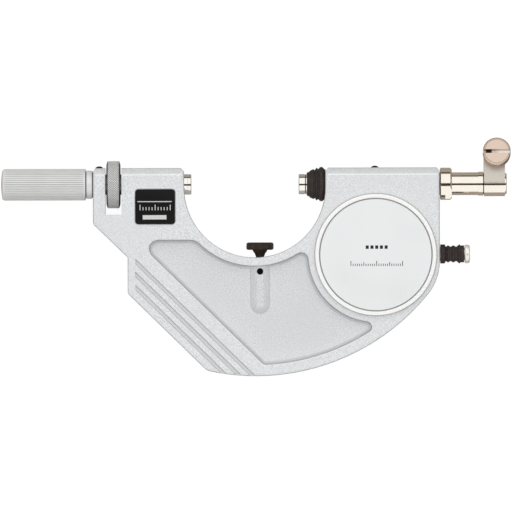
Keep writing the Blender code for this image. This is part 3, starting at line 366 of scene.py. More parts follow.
def hammered_paint():
    """Fine hammered paint with a light speckle, a painted highlight along edges, and painted shade below the
    faces.

    Outer rounds get no painted highlight. They have no painted shade of the pocket or the grooves either, and
    nor have those along the heads.
    """
    material, nodes, shader = finish("hammered_paint")
    base = colours().paint
    dimples = nodes.cells(1300.0, 0.8)
    speckle = nodes.grain(1800.0, detail=3.0, roughness=0.6)
    broad = nodes.grain(55.0)
    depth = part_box("frame")[1][2] - abs(nodes.parts()[2])
    outer, slope = nodes.mark(OUTER), nodes.mark(SLOPE)
    # Where the painted highlight may go, and where the painted shade of creases and grooves may go
    gets_highlight = 1 - outer.ramp(1.2 * HEAD_MARK, 1.8 * HEAD_MARK)
    inner = 1 - outer.ramp(0.2 * HEAD_MARK, 0.8 * HEAD_MARK)
    # Over the speckle and a random broad tone: a painted highlight on the lips of edges, and painted shade
    # below the faces, in the creases, at the feet of the grooves and on the slopes
    shade = nodes.tones(
        nodes.mix(linear(base, 0.85), linear(base, 1.15), speckle.ramp(0.36, 0.64)),
        base,
        (0.96, broad.ramp(0.35, 0.70) * 0.5),
        (1.40, depth.band(*LIP) * 0.8 * gets_highlight),
        (0.62, depth.ramp(*BELOW) * 0.24),
        (0.45, depth.band(*CREASE) * 0.55 * inner),
        (0.62, depth.band(*GROOVE) * 0.35 * inner),
        (0.62, slope * 0.55),
    )
    nodes.fill(shader, {
        "Base Color": shade,
        "Roughness": 0.46 + 0.12 * speckle,
        "Normal": nodes.bump(dimples * 0.8 + speckle * 0.35, 0.00005, 0.5),
        "Specular IOR Level": 0.45,
    })
    return material


def turned_metal(name, colour, axis, roughness, lines=9000.0, metallic=1.0, rings=(), flutes=None,
                 thread=None, brushed=None):
    """Machined metal with fine turning lines round an axis and slight changes of shade.

    Joints between two pieces get rings of painted shade, given as places along X. The floors of flutes get
    painted shade too: they are given as a radius at the floor, one at the top, and the place where they
    start.
    A thread is drawn as near black stripes at its pitch, and is given by the place along X where it ends.
    What lies above a place along Y may be brushed dull.
    """
    material, nodes, shader = finish(name, metallic)
    squeeze = [1.0 if letter == axis else 0.02 for letter in "XYZ"]
    turning = nodes.grain(lines, place=nodes.place(squeeze))
    stain = nodes.grain(160.0, detail=3.0)
    shade = nodes.mix(linear(colour, 0.98), linear(colour, 1.02), stain.ramp(0.3, 0.7))
    shade = nodes.tones(shade, colour, (0.96, turning.ramp(0.45, 0.8) * 0.5))
    if rings or flutes or thread is not None or brushed is not None:
        x, y, z = nodes.parts()
    # Rings of painted shade in the seams between pieces
    for ring in rings:
        shade = nodes.mix(linear(colour, 0.06), shade, abs(x - ring).ramp(0.00022, 0.00036))
    # Painted shade on the floors of the flutes
    if flutes:
        floor, top, start = flutes
        deep = length_of(y, z).ramp(top, floor) * x.ramp(start, start + 0.0006)
        shade = nodes.tones(shade, colour, (0.40, deep))
    # Near black stripes at the thread's pitch
    if thread is not None:
        wave = (x * (math.tau / THREAD_PITCH)).wave()
        thread_stripes = nodes.mix(linear(colour, 0.03), linear(colour, 0.20), wave.ramp(-0.5, 1.0))
        shade = nodes.mix(shade, thread_stripes, x.ramp(thread + 0.0002, thread - 0.0002))
    dull = 0.10 * stain * turning
    if brushed is not None:
        above = y.ramp(brushed - 0.0001, brushed + 0.0001)
        shade = nodes.tones(shade, colour, (0.72, above))
        dull = dull + 0.24 * above
    bump = nodes.bump(turning, 0.0000006, 0.5)
    nodes.fill(shader, {"Base Color": shade, "Roughness": roughness + dull, "Normal": bump})
    return material


def knurled_metal():
    """The wheel, with painted light on its knurl, dark floors and light tops of its diamonds, and painted
    shade on its sides.
    """
    material, nodes, shader = finish("knurled_steel", 0.10)
    low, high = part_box("adjusting_wheel")
    rim, half = (high[2] - low[2]) / 2, (high[0] - low[0]) / 2
    x, y, z = nodes.parts()
    depth = sizes().knurl_depth
    top = length_of(y, z).ramp(rim - depth, rim - 0.2 * depth)
    away = abs(x - (low[0] + high[0]) / 2)
    side = away.ramp(half - 1.05 * WHEEL_CHAMFER, half - 0.95 * WHEEL_CHAMFER)
    base = colours().knurl
    # Painted shade on the floors of the knurl and on the flanks, against light tops
    shade = nodes.tones(
        nodes.mix(linear(base, 0.08), linear(base, 1.35), top),
        base,
        (0.80, nodes.grain(900.0, 3.0).ramp(0.4, 0.8) * 0.3),
        (0.02, side),
    )
    nodes.fill(shader, {"Base Color": shade, "Roughness": 0.52 - 0.10 * top})
    return material


def bright_rim(centre, seat, radius):
    """Polished rim of the round cover, with painted shade in the seam round the disc and along its outer
    edge.
    """
    material, nodes, shader = finish("bright_rim", 0.15)
    out, rings = nodes.facing(centre, 7000.0)
    base = colours().rim
    shade = nodes.tones(
        nodes.mix(linear(base, 0.97), linear(base, 1.02), rings.ramp(0.3, 0.7)),
        base,
        # Painted shade in the seam round the disc and along the outer edge
        (0.42, out.ramp(seat + 0.0002, seat - 0.0001)),
        (0.50, out.ramp(radius - 0.00045, radius - 0.0001)),
    )
    nodes.fill(shader, {"Base Color": shade, "Roughness": 0.34 + 0.08 * rings})
    return material


def brushed_disc():
    """Satin metal of the cover's disc, with faint rings from its turning."""
    material, nodes, shader = finish("satin_disc", 0.15)
    rings = nodes.facing(box_middle("cover_disc"), 5200.0)[1]
    cloud = nodes.grain(38.0, detail=1.0)
    base = colours().disc
    shade = nodes.mix(linear(base, 0.965), linear(base, 1.02), cloud.ramp(0.3, 0.7))
    shade = nodes.tones(shade, base, (0.94, rings.ramp(0.5, 0.9) * 0.25))
    bump = nodes.bump(rings, 0.000003, 0.3)
    nodes.fill(shader, {"Base Color": shade, "Roughness": 0.42 + 0.10 * rings, "Normal": bump})
    return material


def slotted_metal():
    """The face of the clamp's screw, with a turned ring, painted shade along one side of its edge, and its
    slot in painted light: a painted highlight on its right and painted shade at its left.
    """
    material, nodes, shader = finish("rose_nickel", 0.85)
    base = colours().screw
    joint = next(joint for joint in frame["joints"] if joint["child"] == "clamp_screw")
    axis, centre = Vector(joint["axis"]).normalized(), Vector(joint["pos_m"])
    shape = merged("clamp_screw")
    top = max((vert.co - centre).dot(axis) for vert in shape.verts)
    radius = max((vert.co - centre).cross(axis).length for vert in shape.verts)
    shape.free()
    lit_wall = (1.0, 0.95, 0.90, 1.0)
    away = nodes.vector("SUBTRACT", nodes.place(), centre)
    along = nodes.vector("DOT_PRODUCT", away, axis, output="Value")
    reach = nodes.vector("LENGTH", away, output="Value")
    out = (reach * reach - along * along).at_least(0).maths("SQRT")
    slot = along.ramp(top - 0.0002, top - 0.0009) * out.ramp(radius - 0.0001, radius - 0.0006)
    ring = out.band((radius - 0.0012, radius - 0.0009), (radius - 0.0005, radius - 0.0008))
    edge = out.ramp(radius - 0.00040, radius - 0.00015)
    x, y, _ = nodes.parts(away)
    rub = nodes.grain(2600.0, detail=3.0)
    # The edge gets painted shade on its side towards +X and +Y
    shade = nodes.tones(
        nodes.mix(linear(base, 0.94), linear(base, 1.04), rub.ramp(0.35, 0.65)),
        base,
        (0.42, ring * 0.7),
        (0.10, edge * (x + y).ramp(-0.004, 0.002)),
    )
    # Painted highlight on the right of the slot, and painted shade at its left
    shade = nodes.mix(shade, lit_wall, slot * x.ramp(-0.001, 0.002) * 0.8)
    shade = nodes.tones(shade, base, (0.03, slot * x.ramp(-0.0018, -0.0028) * x.ramp(-0.0056, -0.0048)))
    nodes.fill(shader, {"Base Color": shade, "Roughness": 0.26 + 0.10 * rub})
    return material


def black_rubber():
    """Rubber with a little dust in its folds."""
    material, nodes, shader = finish("black_rubber")
    base = colours().rubber
    dust = nodes.grain(700.0, detail=4.0, roughness=0.65)
    nodes.fill(shader, {
        "Base Color": nodes.mix(linear(base, 0.75), linear(base, 1.35), dust.ramp(0.35, 0.75)),
        "Roughness": 0.48 + 0.16 * dust,
        "Normal": nodes.bump(nodes.grain(5200.0), 0.00002, 0.35),
        "Specular IOR Level": 0.4,
    })
    return material


def dark_metal(name, colour):
    """Blackened metal, a little lighter where it is rubbed."""
    material, nodes, shader = finish(name, 0.75)
    rub = nodes.grain(420.0, detail=4.0, roughness=0.6)
    shade = nodes.mix(linear(colour, 0.8), linear(colour, 1.5), rub.ramp(0.45, 0.8))
    bump = nodes.bump(rub, 0.000008, 0.3)
    nodes.fill(shader, {"Base Color": shade, "Roughness": 0.38 + 0.14 * rub, "Normal": bump})
    return material


def plate_black():
    """Dull black ground of the nameplate."""
    material, nodes, shader = finish("plate_black")
    base = colours().plate
    fine = nodes.grain(3000.0)
    shade = nodes.mix(linear(base, 0.8), linear(base, 1.3), fine.ramp(0.3, 0.7))
    nodes.fill(shader, {"Base Color": shade, "Roughness": 0.34 + 0.10 * fine, "Specular IOR Level": 0.2})
    return material


def plain_print(name, colour, metallic=0.0):
    """Ink, or another thin flat coat."""
    material, nodes, shader = finish(name, metallic)
    fine = nodes.grain(2400.0)
    shade = nodes.mix(linear(colour, 0.93), linear(colour, 1.03), fine)
    nodes.fill(shader, {"Base Color": shade, "Roughness": 0.36 + 0.12 * fine})
    return material


# Shapes

def add_piece(name, shape, material, body, replaced=(), sharp=32.0):
    """A bmesh made into a piece that rides on a body and stands for the nodes that it replaces."""
    bmesh.ops.remove_doubles(shape, verts=shape.verts, dist=MERGE / 10)
    bmesh.ops.recalc_face_normals(shape, faces=shape.faces)
    mesh = bpy.data.meshes.new(name)
    shape.to_mesh(mesh)
    shape.free()
    mesh.materials.append(material)
    mesh.shade_smooth()
    mesh.set_sharp_from_angle(angle=math.radians(sharp))
    piece = bpy.data.objects.new(name, mesh)
    bpy.context.scene.collection.objects.link(piece)
    if body:
        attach(piece, body)
    if replaced:
        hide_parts(*replaced)
    return piece


def merged(node):
    """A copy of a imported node, with its triangles joined into whole faces."""
    shape = bmesh.new()
    shape.from_mesh(frame["nodes"][node].data)
    bmesh.ops.remove_doubles(shape, verts=shape.verts, dist=MERGE)
    bmesh.ops.dissolve_limit(shape, angle_limit=FLAT, verts=shape.verts, edges=shape.edges)
    return shape


def break_edges(shape, width, over=28.0):
    """Bevels the edges whose faces meet at more than an angle in degrees."""
    sharp = [
        edge for edge in shape.edges
        if len(edge.link_faces) == 2 and edge.calc_face_angle(0) > math.radians(over)
    ]
    bmesh.ops.bevel(
        shape, geom=sharp, offset=width, segments=2, profile=0.5, affect="EDGES", material=-1,
        clamp_overlap=True,
    )


def weight_normals(piece):
    """Keeps flat faces flat to the eye beside narrow bevels."""
    modifier = piece.modifiers.new("weighted_normals", "WEIGHTED_NORMAL")
    modifier.keep_sharp = True
    modifier.weight = 100


def dressed(node, material, body, edge=True):
    """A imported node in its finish, with its edges broken."""
    shape = merged(node)
    if edge:
        break_edges(shape, sizes().edge)
    weight_normals(add_piece(f"{node}_finish", shape, material, body, [node]))


def turned(profile, axis, steps, centre=(0, 0, 0), closed=False):
    """A profile of (place along the axis, radius) points, turned round an axis through a point."""
    shape = bmesh.new()
    run = AXES[axis]
    out = AXES["X"] if axis != "X" else AXES["Y"]
    middle = Vector(centre)
    verts = [shape.verts.new(middle + run * a + out * r) for a, r in profile]
    edges = [shape.edges.new(pair) for pair in zip(verts, verts[1:])]
    if closed:
        edges.append(shape.edges.new((verts[-1], verts[0])))
    bmesh.ops.spin(
        shape, geom=verts + edges, cent=middle, axis=run, angle=math.tau, steps=steps, use_merge=True
    )
    return shape


def between(low, high, count):
    """Evenly spaced values from one to another."""
    return [low + (high - low) * i / count for i in range(count + 1)]


def box_middle(node):
    """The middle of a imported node's box."""
    low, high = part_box(node)
    return [(a + b) / 2 for a, b in zip(low, high)]


def lift(shape, geometry, height):
    """Extrudes faces upwards."""
    grown = bmesh.ops.extrude_face_region(shape, geom=geometry)["geom"]
    top = [item for item in grown if isinstance(item, bmesh.types.BMVert)]
    bmesh.ops.translate(shape, vec=(0, 0, height), verts=top)


def printed_bar(left, bottom, right, top, height):
    """One bar of print, half sunk into a face at a height."""
    outline = ((left, bottom), (right, bottom), (right, top), (left, top))
    half = sizes().print_height
    shape = bmesh.new()
    base = shape.faces.new([shape.verts.new((x, y, height - half)) for x, y in outline])
    lift(shape, [base], 2 * half)
    return shape


def press_in(vert, depth):
    """Moves a vertex towards the X axis."""
    out = math.hypot(vert.co.y, vert.co.z)
    vert.co.y *= (out - depth) / out
    vert.co.z *= (out - depth) / out


def joined(shapes):
    """Several shapes in one bmesh."""
    whole = bmesh.new()
    for shape in shapes:
        mesh = bpy.data.meshes.new("part")
        shape.to_mesh(mesh)
        shape.free()
        whole.from_mesh(mesh)
        bpy.data.meshes.remove(mesh)
    return whole


# Operators

class FinishOperator(bpy.types.Operator):
    """What the operators share"""

    bl_options = {"REGISTER", "UNDO"}


class MICROMETER_OT_frame(FinishOperator):
    """Give the cast frame its hammered paint"""

    bl_idname = "micrometer.frame"
    bl_label = "Frame"

    def execute(self, context):
        shape = merged("frame")
        self.flatten_rounds(shape)
        break_edges(shape, 2 * sizes().edge)
        self.mark_faces(shape)
        weight_normals(add_piece("frame_finish", shape, hammered_paint(), "root", ["frame"],
                                 sharp=38.0))
        return {"FINISHED"}

    def mark_faces(self, shape):
        """Marks the slopes in the pocket, which take painted shade, and the outer rounds, which are kept from
        the painted highlight and from the painted shade of creases and grooves: those have nothing below them
        to the side.
        """
        slope, outer = (shape.loops.layers.float.new(name) for name in (SLOPE, OUTER))
        shape.normal_update()
        tree = BVHTree.FromBMesh(shape)
        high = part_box("frame")[1]
        boss = box_middle("backrest_set_screw")
        for face in shape.faces:
            middle, normal = face.calc_center_median(), face.normal
            if not LEAN[0] < abs(normal.z) < LEAN[1]:
                continue
            if middle.y > high[1] - HEAD_BAND:
                layer, value = outer, HEAD_MARK
            elif high[2] - abs(middle.z) > SLOPE_DEPTH:
                on_boss = abs(middle.x - boss[0]) < BOSS_BOX[0] and middle.y > BOSS_BOX[1]
                layer, value = slope, BOSS_SLOPE if on_boss else 1.0
            else:
                side = math.copysign(1.0, middle.z)
                beside = middle + Vector((normal.x, normal.y, 0)).normalized() * BESIDE
                beside.z = 2 * side * high[2]
                layer, value = outer, float(tree.ray_cast(beside, Vector((0, 0, -side)))[0] is None)
            for loop in face.loops:
                loop[layer] = value

    def flatten_rounds(self, shape):
        """Draws the rounds along the tops of the heads in towards a flat bevel, as the casting has."""
        y_start, z_start = (size - HEAD_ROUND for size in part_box("frame")[1][1:])
        for vert in shape.verts:
            up, out = vert.co.y - y_start, abs(vert.co.z) - z_start
            if min(up, out) <= 0:
                continue
            flat = math.hypot(up, out) / (up + out)
            share = 1 - HEAD_FLAT * (1 - flat)
            vert.co.y = y_start + up * share
            vert.co.z = math.copysign(z_start + out * share, vert.co.z)


class MICROMETER_OT_nameplate(FinishOperator):
    """Make the black nameplate with its plain silver print"""

    bl_idname = "micrometer.nameplate"
    bl_label = "Nameplate"

    def execute(self, context):
        plate = merged("nameplate")
        break_edges(plate, 2 * sizes().edge)
        add_piece("nameplate_finish", plate, plate_black(), "root", ["nameplate"])
        low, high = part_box("nameplate")
        width, tall = high[0] - low[0], high[1] - low[1]
        marks = []

        def mark(left, bottom, right, top):
            x_left, x_right = low[0] + width * left, low[0] + width * right
            marks.append(printed_bar(x_left, low[1] + tall * bottom, x_right, low[1] + tall * top, high[2]))

        # A rule, a blank bar to write on, and a short scale of plain ticks, as shares of the plate.
        mark(0.055, 0.635, 0.915, 0.660)
        mark(0.188, 0.136, 0.784, 0.259)
        half_tick, tick_foot = 0.010, 0.40
        for i, middle in enumerate(between(0.12, 0.88, 10)):
            rise = 0.16 if i % 5 == 0 else 0.09
            mark(middle - half_tick, tick_foot, middle + half_tick, tick_foot + rise)
        silver = plain_print("silver_print", colours().silver, 0.2)
        add_piece("nameplate_print", joined(marks), silver, "root")

        # A painted highlight round the plate, made as a pale bead
        painted_halo = plain_print("pale_painted_halo", colours().painted_halo)
        add_piece("nameplate_bead", self.bead(low, high), painted_halo, "root")
        return {"FINISHED"}

    def bead(self, low, high):
        """A pale bead round the plate, a hair away from it and a little lower: a painted highlight round its
        edge.
        """
        width, gap, drop, bevel = 0.00055, 0.00002, 0.0002, 0.0001
        corner = PLATE_CORNER + width
        outline = []
        for i, (side, end) in enumerate(((1, 1), (-1, 1), (-1, -1), (1, -1))):
            x = (high[0] if side > 0 else low[0]) + side * (width - corner)
            y = (high[1] if end > 0 else low[1]) + end * (width - corner)
            for angle in between(i * math.pi / 2, (i + 1) * math.pi / 2, 6):
                outline.append((x + corner * math.cos(angle), y + corner * math.sin(angle)))
        shape = bmesh.new()
        face = shape.faces.new([shape.verts.new((x, y, low[2])) for x, y in outline])
        bmesh.ops.inset_region(shape, faces=[face], thickness=width - gap, use_boundary=True)
        bmesh.ops.delete(shape, geom=[face], context="FACES_ONLY")
        lift(shape, shape.faces[:], high[2] - low[2] - drop)
        break_edges(shape, bevel, over=60.0)
        return shape


class MICROMETER_OT_cover(FinishOperator):
    """Turn the round cover's bright rim and the satin disc in it"""

    bl_idname = "micrometer.cover"
    bl_label = "Round cover"

    def execute(self, context):
        low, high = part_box("round_cover")
        disc_low, disc_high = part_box("cover_disc")
        middle = box_middle("round_cover")
        centre = (middle[0], middle[1], 0)
        radius, disc = (high[0] - low[0]) / 2, (disc_high[0] - disc_low[0]) / 2
        seat, spigot = disc + 0.0005, radius - 0.0045
        under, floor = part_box("frame")[1][2] + CLEARANCE, disc_low[2] - CLEARANCE
        bend, brink = 0.0008, 0.0002
        profile = [(low[2], 0), (low[2], spigot), (under, spigot), (under, radius)]
        for angle in between(0, math.pi / 2, 6):
            profile.append((high[2] - bend * (1 - math.sin(angle)), radius - bend * (1 - math.cos(angle))))
        profile += [(high[2], seat + brink), (high[2] - brink, seat), (floor, seat), (floor, 0)]
        rim = turned(profile, "Z", COVER_STEPS, centre)
        break_edges(rim, 0.00008, over=25.0)
        weight_normals(add_piece("round_cover_finish", rim, bright_rim(centre, seat, radius), "root",
                                 ["round_cover"]))

        foot, top, edge = disc_low[2], disc_high[2], 0.00025
        profile = [(foot, 0), (foot, disc), (top - edge, disc), (top - edge / 4, disc - edge / 3)]
        profile += [(top, disc - edge), (top, 0)]
        plate = turned(profile, "Z", COVER_STEPS, centre)
        weight_normals(add_piece("cover_disc_finish", plate, brushed_disc(), "root", ["cover_disc"]))

        # A row of plain bars over a plain scale of ticks.
        x, y = middle[0] + 0.0004, middle[1] + 0.0035
        marks = []
        for i in range(-2, 3):
            bar = x + i * 0.0022
            marks.append(printed_bar(bar - 0.0007, y - 0.0008, bar + 0.0007, y + 0.0008, top))
        base = y - 0.0088
        for i in range(-12, 13):
            tick = x + i * 0.001
            tall = 0.0024 if i % 12 == 0 else 0.0018 if i % 6 == 0 else 0.0011
            marks.append(printed_bar(tick - 0.00016, base, tick + 0.00016, base + tall, top))
        ink = plain_print("black_ink", colours().ink)
        add_piece("cover_print", joined(marks), ink, "root")
        return {"FINISHED"}


class MICROMETER_OT_screws(FinishOperator):
    """Finish the two key screws and the set screw of the backrest"""

    bl_idname = "micrometer.screws"
    bl_label = "Small screws"

    def execute(self, context):
        black = dark_metal("black_oxide", colours().black)
        for node in ("spindle_key_screw", "anvil_key_screw"):
            dressed(node, black, "root", edge=False)
        dressed("backrest_set_screw", black, "set_screw")
        return {"FINISHED"}


class MICROMETER_OT_wheel(FinishOperator):
    """Cut the diamond knurl of the adjusting wheel"""

    bl_idname = "micrometer.wheel"
    bl_label = "Adjusting wheel"

    def execute(self, context):
        low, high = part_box("adjusting_wheel")
        radius = (high[2] - low[2]) / 2
        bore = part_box("spindle")[1][1] + CLEARANCE
        count = round(math.tau * radius / sizes().knurl_pitch)
        left, right = low[0] + WHEEL_CHAMFER, high[0] - WHEEL_CHAMFER
        profile = [(low[0], bore), (low[0], radius - WHEEL_FLANK)]
        profile += [(x, radius) for x in between(left, right, 36)]
        profile += [(high[0], radius - WHEEL_FLANK), (high[0], bore)]
        shape = turned(profile, "X", KNURL_STEPS * count, closed=True)
        depth, fade, least = sizes().knurl_depth, sizes().knurl_pitch / 2, 0.2
        for vert in shape.verts:
            x, y, z = vert.co
            if math.hypot(y, z) < radius - 10 * MERGE:
                continue
            turn = math.atan2(z, y) * count / math.tau
            run = (x - left) * count / (math.tau * radius)
            peaks = [2 * abs((value % 1) - 0.5) for value in (turn + run, turn - run)]
            share = min(1.0, (x - left) / fade, (right - x) / fade)
            press_in(vert, depth * (1 - min(peaks) * min(1.0, share + least)))
        add_piece("adjusting_wheel_finish", shape, knurled_metal(), "wheel", ["adjusting_wheel"],
                  sharp=50.0)
        return {"FINISHED"}


class MICROMETER_OT_spindle(FinishOperator):
    """Finish the spindle and its hard metal tip"""

    bl_idname = "micrometer.spindle"
    bl_label = "Spindle"

    def execute(self, context):
        steel = turned_metal("bright_steel", colours().steel, "X", 0.08)
        # Where the thread's dark stripes end
        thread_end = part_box("adjusting_wheel")[1][0] + 0.0015
        threaded = turned_metal("threaded_steel", colours().steel, "X", 0.08, thread=thread_end)
        dressed("spindle", threaded, "spindle")
        dressed("spindle_tip", steel, "spindle", edge=False)
        return {"FINISHED"}


class MICROMETER_OT_cap(FinishOperator):
    """Turn and flute the long cap, and finish the neck beside it"""

    bl_idname = "micrometer.cap"
    bl_label = "Cap and neck"

    def execute(self, context):
        low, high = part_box("spindle_cap")
        radius, depth = (high[2] - low[2]) / 2, sizes().flute_depth
        beside = 0.0001
        # Places of painted shade in the seams at both ends of the neck
        joints = [high[0] + beside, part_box("frame")[0][0] - beside]
        neck = turned_metal("satin_neck", colours().satin, "X", 0.40, metallic=0.20, rings=joints)
        dressed("clamp_bush", neck, "root")

        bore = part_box("spindle")[1][1] + CLEARANCE
        thread, thread_run = 0.0063, 0.0063
        wall, collar, dome, corner, edge = 0.0020, 0.0009, 0.0005, 0.0014, 0.0003
        flat = radius - corner
        left, right = low[0] + dome, high[0]
        ledge = right - collar
        profile = [(left - dome * (1 - share**2), flat * share) for share in between(0, 1, 4)]
        for angle in between(0, math.pi / 2, 6)[1:]:
            profile.append((left + corner * (1 - math.cos(angle)), flat + corner * math.sin(angle)))
        profile += [(x, radius) for x in between(left + corner + 0.001, ledge - 0.0008, 8)]
        profile += [(ledge - 0.0002, radius), (ledge, radius), (right - edge, radius), (right, radius - edge)]
        profile += [(right, thread), (right - thread_run, thread), (right - thread_run, bore)]
        profile += [(low[0] + wall, bore), (low[0] + wall, 0)]
        count = sizes().flute_count
        shape = turned(profile, "X", CAP_STEPS * count)
        half = sizes().flute_width / 2
        start, stop = left + 0.1 * corner, ledge - 0.0001
        for vert in shape.verts:
            x, y, z = vert.co
            out = math.hypot(y, z)
            if out < 1.02 * flat or not start < x < stop:
                continue
            turn = math.atan2(z, y) * count / math.tau
            away = abs(turn - round(turn)) * math.tau * out / count
            press_in(vert, depth * max(0.0, 1 - away / half))
        # Where the flutes' floors get painted shade
        flutes = (radius - depth, radius - 0.1 * depth, low[0] + 0.0016)
        satin = turned_metal("satin_chrome", colours().satin, "X", 0.46, metallic=0.28, flutes=flutes)
        add_piece("spindle_cap_finish", shape, satin, "cap", ["spindle_cap"], sharp=26.0)
        return {"FINISHED"}


class MICROMETER_OT_backrest(FinishOperator):
    """Finish the blackened backrest"""

    bl_idname = "micrometer.backrest"
    bl_label = "Backrest"

    def execute(self, context):
        dressed("backrest", dark_metal("blackened_steel", colours().dark), "backrest")
        return {"FINISHED"}


class MICROMETER_OT_anvil(FinishOperator):
    """Finish the sprung anvil and its tip"""

    bl_idname = "micrometer.anvil"
    bl_label = "Anvil"

    def execute(self, context):
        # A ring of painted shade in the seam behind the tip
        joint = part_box("anvil_tip")[1][0] + 0.0002
        dressed("anvil_tip", bpy.data.materials["bright_steel"], "anvil", edge=False)
        steel = turned_metal("jointed_steel", colours().steel, "X", 0.08, rings=[joint])
        dressed("anvil_spindle", steel, "anvil")
        return {"FINISHED"}


class MICROMETER_OT_bellows(FinishOperator):
    """Mould the two rubber bellows, which sit between the frame and what moves"""

    bl_idname = "micrometer.bellows"
    bl_label = "Bellows"

    def execute(self, context):
        rubber = black_rubber()
        for node, body in (("anvil_boot", "anvil"), ("button_boot", "button")):
            low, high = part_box(node)
            middle = box_middle(node)
            centre = (0, middle[1], middle[2])
            shape = turned(self.profile(node, centre), "X", BELLOWS_STEPS, centre, closed=True)
            piece = add_piece(f"{node}_finish", shape, rubber, None, [node], sharp=60.0)
            ends = [(low[0], *centre[1:]), (high[0], *centre[1:])]
            if body == "anvil":
                ends.reverse()
            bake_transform(piece)
        return {"FINISHED"}

    def profile(self, node, centre):
        """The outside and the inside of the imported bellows, with its folds made round."""
        shape = merged(node)
        rings = {}
        for vert in shape.verts:
            radius = math.hypot(vert.co.y - centre[1], vert.co.z - centre[2])
            rings.setdefault(round(vert.co.x, 6), []).append(radius)
        shape.free()
        stations = sorted(rings)
        profile = []
        for choose, run, steps in ((max, stations, 6), (min, stations[::-1], 2)):
            for start, end in zip(run, run[1:]):
                first, last = choose(rings[start]), choose(rings[end])
                for share in between(0, 1, steps)[:-1]:
                    smooth = share * share * (3 - 2 * share)
                    profile.append((start + (end - start) * share, first + (last - first) * smooth))
            profile.append((run[-1], choose(rings[run[-1]])))
        return profile


class MICROMETER_OT_mechanism(FinishOperator):
    """Finish the lever, its pin and ring, the push rod, its guide and the spring"""

    bl_idname = "micrometer.mechanism"
    bl_label = "Retract mechanism"

    def execute(self, context):
        ground = turned_metal("ground_steel", colours().ground, "X", 0.28, lines=3000.0)
        for node, body in (
            ("retract_lever", "lever"),
            ("lever_pivot_pin", "root"),
            ("push_rod", "button"),
            ("rod_guide", "root"),
        ):
            dressed(node, ground, body)
        dressed("pivot_clip", bpy.data.materials["black_oxide"], "root", edge=False)
        bright = turned_metal("button_steel", colours().steel, "X", 0.30, metallic=0.55)
        dressed("button_cap", bright, "button", edge=False)
        spring = add_piece("anvil_spring_finish", merged("anvil_spring"), ground, None,
                           ["anvil_spring"], sharp=75.0)
        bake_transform(spring)
        return {"FINISHED"}


class MICROMETER_OT_clamp(FinishOperator):
    """Finish the tube, its lock nut, the split clamp and the slotted screw"""

    bl_idname = "micrometer.clamp"
    bl_label = "Stem and clamp"

    def execute(self, context):
        # Rings of painted shade in the seams before the nut and the clamp
        joints = [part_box(node)[0][0] - 0.00015 for node in ("stem_lock_nut", "indicator_clamp")]
        nickel = turned_metal("polished_nickel", colours().nickel, "X", 0.08, rings=joints)
        satin = turned_metal("satin_nickel", colours().nickel, "Y", 0.10, lines=3000.0, brushed=0.0001)
        for node, metal in (("stem_tube", nickel), ("stem_lock_nut", nickel), ("indicator_clamp", satin)):
            dressed(node, metal, "root")
        dressed("clamp_screw", slotted_metal(), "clamp_screw")
        return {"FINISHED"}


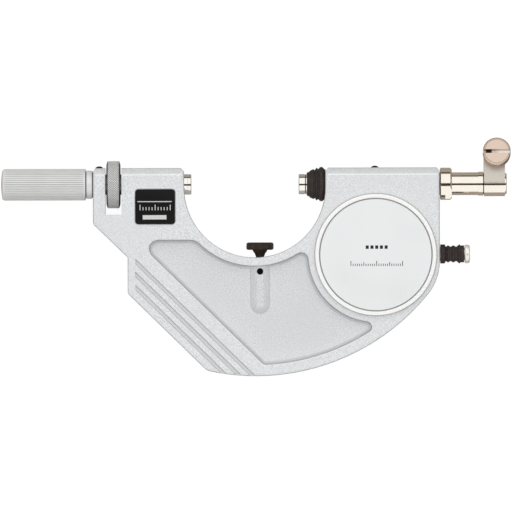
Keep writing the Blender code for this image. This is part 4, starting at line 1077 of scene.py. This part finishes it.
class MICROMETER_OT_stage(FinishOperator):
    """Set the floor, the soft light and the camera"""

    bl_idname = "micrometer.stage"
    bl_label = "Stage"

    def execute(self, context):
        stage = context.scene.micrometer_stage
        self.floor(stage, CAD_BOX[0][2] - stage.floor_room)
        self.sky(stage)
        self.lamp(stage)
        self.camera(stage)
        context.scene.view_settings.view_transform = "Standard"
        return {"FINISHED"}

    def floor(self, stage, height):
        """A grey floor that takes shadow. The camera sees it white, and polished metal warm and dim."""
        shape = bmesh.new()
        bmesh.ops.create_grid(
            shape, x_segments=2, y_segments=2, size=stage.floor_size / 2,
            matrix=Matrix.Translation((*stage.camera_place, height)),
        )
        mesh = bpy.data.meshes.new("floor")
        shape.to_mesh(mesh)
        shape.free()
        floor = bpy.data.objects.new("floor", mesh)
        bpy.context.scene.collection.objects.link(floor)
        material, nodes, shader = finish("pale_floor")
        nodes.fill(shader, {"Base Color": FLOOR_GREY, "Roughness": 0.9})
        path = nodes.add("ShaderNodeLightPath")
        camera = path.term("Is Camera Ray").at_least(path.term("Is Transmission Ray"))
        shine = path.term("Is Glossy Ray")
        glow = nodes.add("ShaderNodeEmission", {
            "Color": nodes.mix(WHITE, WARM_FLOOR, shine),
            "Strength": camera * FLOOR_WHITE + shine * FLOOR_SHINE,
        })
        share = camera.at_least(shine) * FLOOR_SHARE
        mixed = nodes.add("ShaderNodeMixShader", {0: share, 1: Node(nodes, shader).term(), 2: glow.term()})
        nodes.fill(nodes.tree.nodes["Material Output"], {"Surface": mixed.term()})
        mesh.materials.append(material)

    def sky(self, stage):
        """Soft light from the front that fades to the horizon. Polished metal shows a dark gap in it."""
        world = bpy.data.worlds.new("soft_studio")
        bpy.context.scene.world = world
        world.use_nodes = True
        nodes = Nodes(world.node_tree)
        _, y, z = nodes.parts(nodes.add("ShaderNodeTexCoord").term("Generated"))
        shine = nodes.add("ShaderNodeLightPath").term("Is Glossy Ray")
        gap = abs(y / z.at_least(HORIZON) + 0.10).ramp(0.15, 0.19)
        clear = (z - 0.12 * y).ramp(HORIZON, 0.20) * gap
        soft = DIMMEST + (1 - DIMMEST) * (z + 0.45 * y).ramp(0.20, 1.0)
        nodes.fill(nodes.tree.nodes["Background"], {
            "Strength": stage.sky * soft * (1 - shine) + stage.shine * shine,
            "Color": nodes.mix(WARM_WHITE, nodes.mix(WARM_DARK, WHITE, clear), shine),
        })

    def lamp(self, stage):
        """A large soft lamp over the object, which polished metal doesn't show."""
        lamp = bpy.data.lights.new("soft_lamp", "AREA")
        lamp.shape = "RECTANGLE"
        lamp.size, lamp.size_y = LAMP_SIZE
        lamp.energy = stage.lamp
        item = bpy.data.objects.new("soft_lamp", lamp)
        item.location = LAMP_PLACE
        item.visible_glossy = False
        aim = Vector((*stage.camera_place, 0)) - item.location
        item.rotation_euler = aim.to_track_quat("-Z", "Y").to_euler()
        bpy.context.scene.collection.objects.link(item)

    def camera(self, stage):
        """A far camera that looks straight down, with no depth of field."""
        data = bpy.data.cameras.new("camera")
        data.sensor_width = SENSOR
        data.lens = data.sensor_width * stage.camera_height / stage.view_width
        data.dof.use_dof = False
        camera = bpy.data.objects.new("camera", data)
        camera.location = (*stage.camera_place, stage.camera_height)
        camera.rotation_euler = (0, 0, stage.camera_roll)
        bpy.context.scene.collection.objects.link(camera)
        bpy.context.scene.camera = camera


class MICROMETER_PT_panel(bpy.types.Panel):
    """Lists the values a user may change, and the operators"""

    bl_label = "Snap micrometer"
    bl_space_type = "VIEW_3D"
    bl_region_type = "UI"
    bl_category = "Micrometer"

    def draw(self, context):
        for group in [getattr(context.scene, name) for name in GROUPS]:
            box = self.layout.box()
            for name in group.__annotations__:
                box.prop(group, name)
        for operator in OPERATORS:
            self.layout.operator(operator.bl_idname)


GROUPS = {
    "micrometer_sizes": MicrometerSizes,
    "micrometer_colours": MicrometerColours,
    "micrometer_stage": MicrometerStage,
}
OPERATORS = (
    MICROMETER_OT_stage,
    MICROMETER_OT_frame,
    MICROMETER_OT_nameplate,
    MICROMETER_OT_cover,
    MICROMETER_OT_screws,
    MICROMETER_OT_wheel,
    MICROMETER_OT_spindle,
    MICROMETER_OT_cap,
    MICROMETER_OT_backrest,
    MICROMETER_OT_anvil,
    MICROMETER_OT_bellows,
    MICROMETER_OT_mechanism,
    MICROMETER_OT_clamp,
)
CLASSES = (*GROUPS.values(), *OPERATORS, MICROMETER_PT_panel)


def register():
    for item in CLASSES:
        bpy.utils.register_class(item)
    for name, group in GROUPS.items():
        setattr(bpy.types.Scene, name, PointerProperty(type=group))


def unregister():
    for name in GROUPS:
        delattr(bpy.types.Scene, name)
    for item in reversed(CLASSES):
        bpy.utils.unregister_class(item)


def main():
    register()
    for operator in OPERATORS:
        group, name = operator.bl_idname.split(".")
        getattr(getattr(bpy.ops, group), name)()


if __name__ == "__main__":
    main()
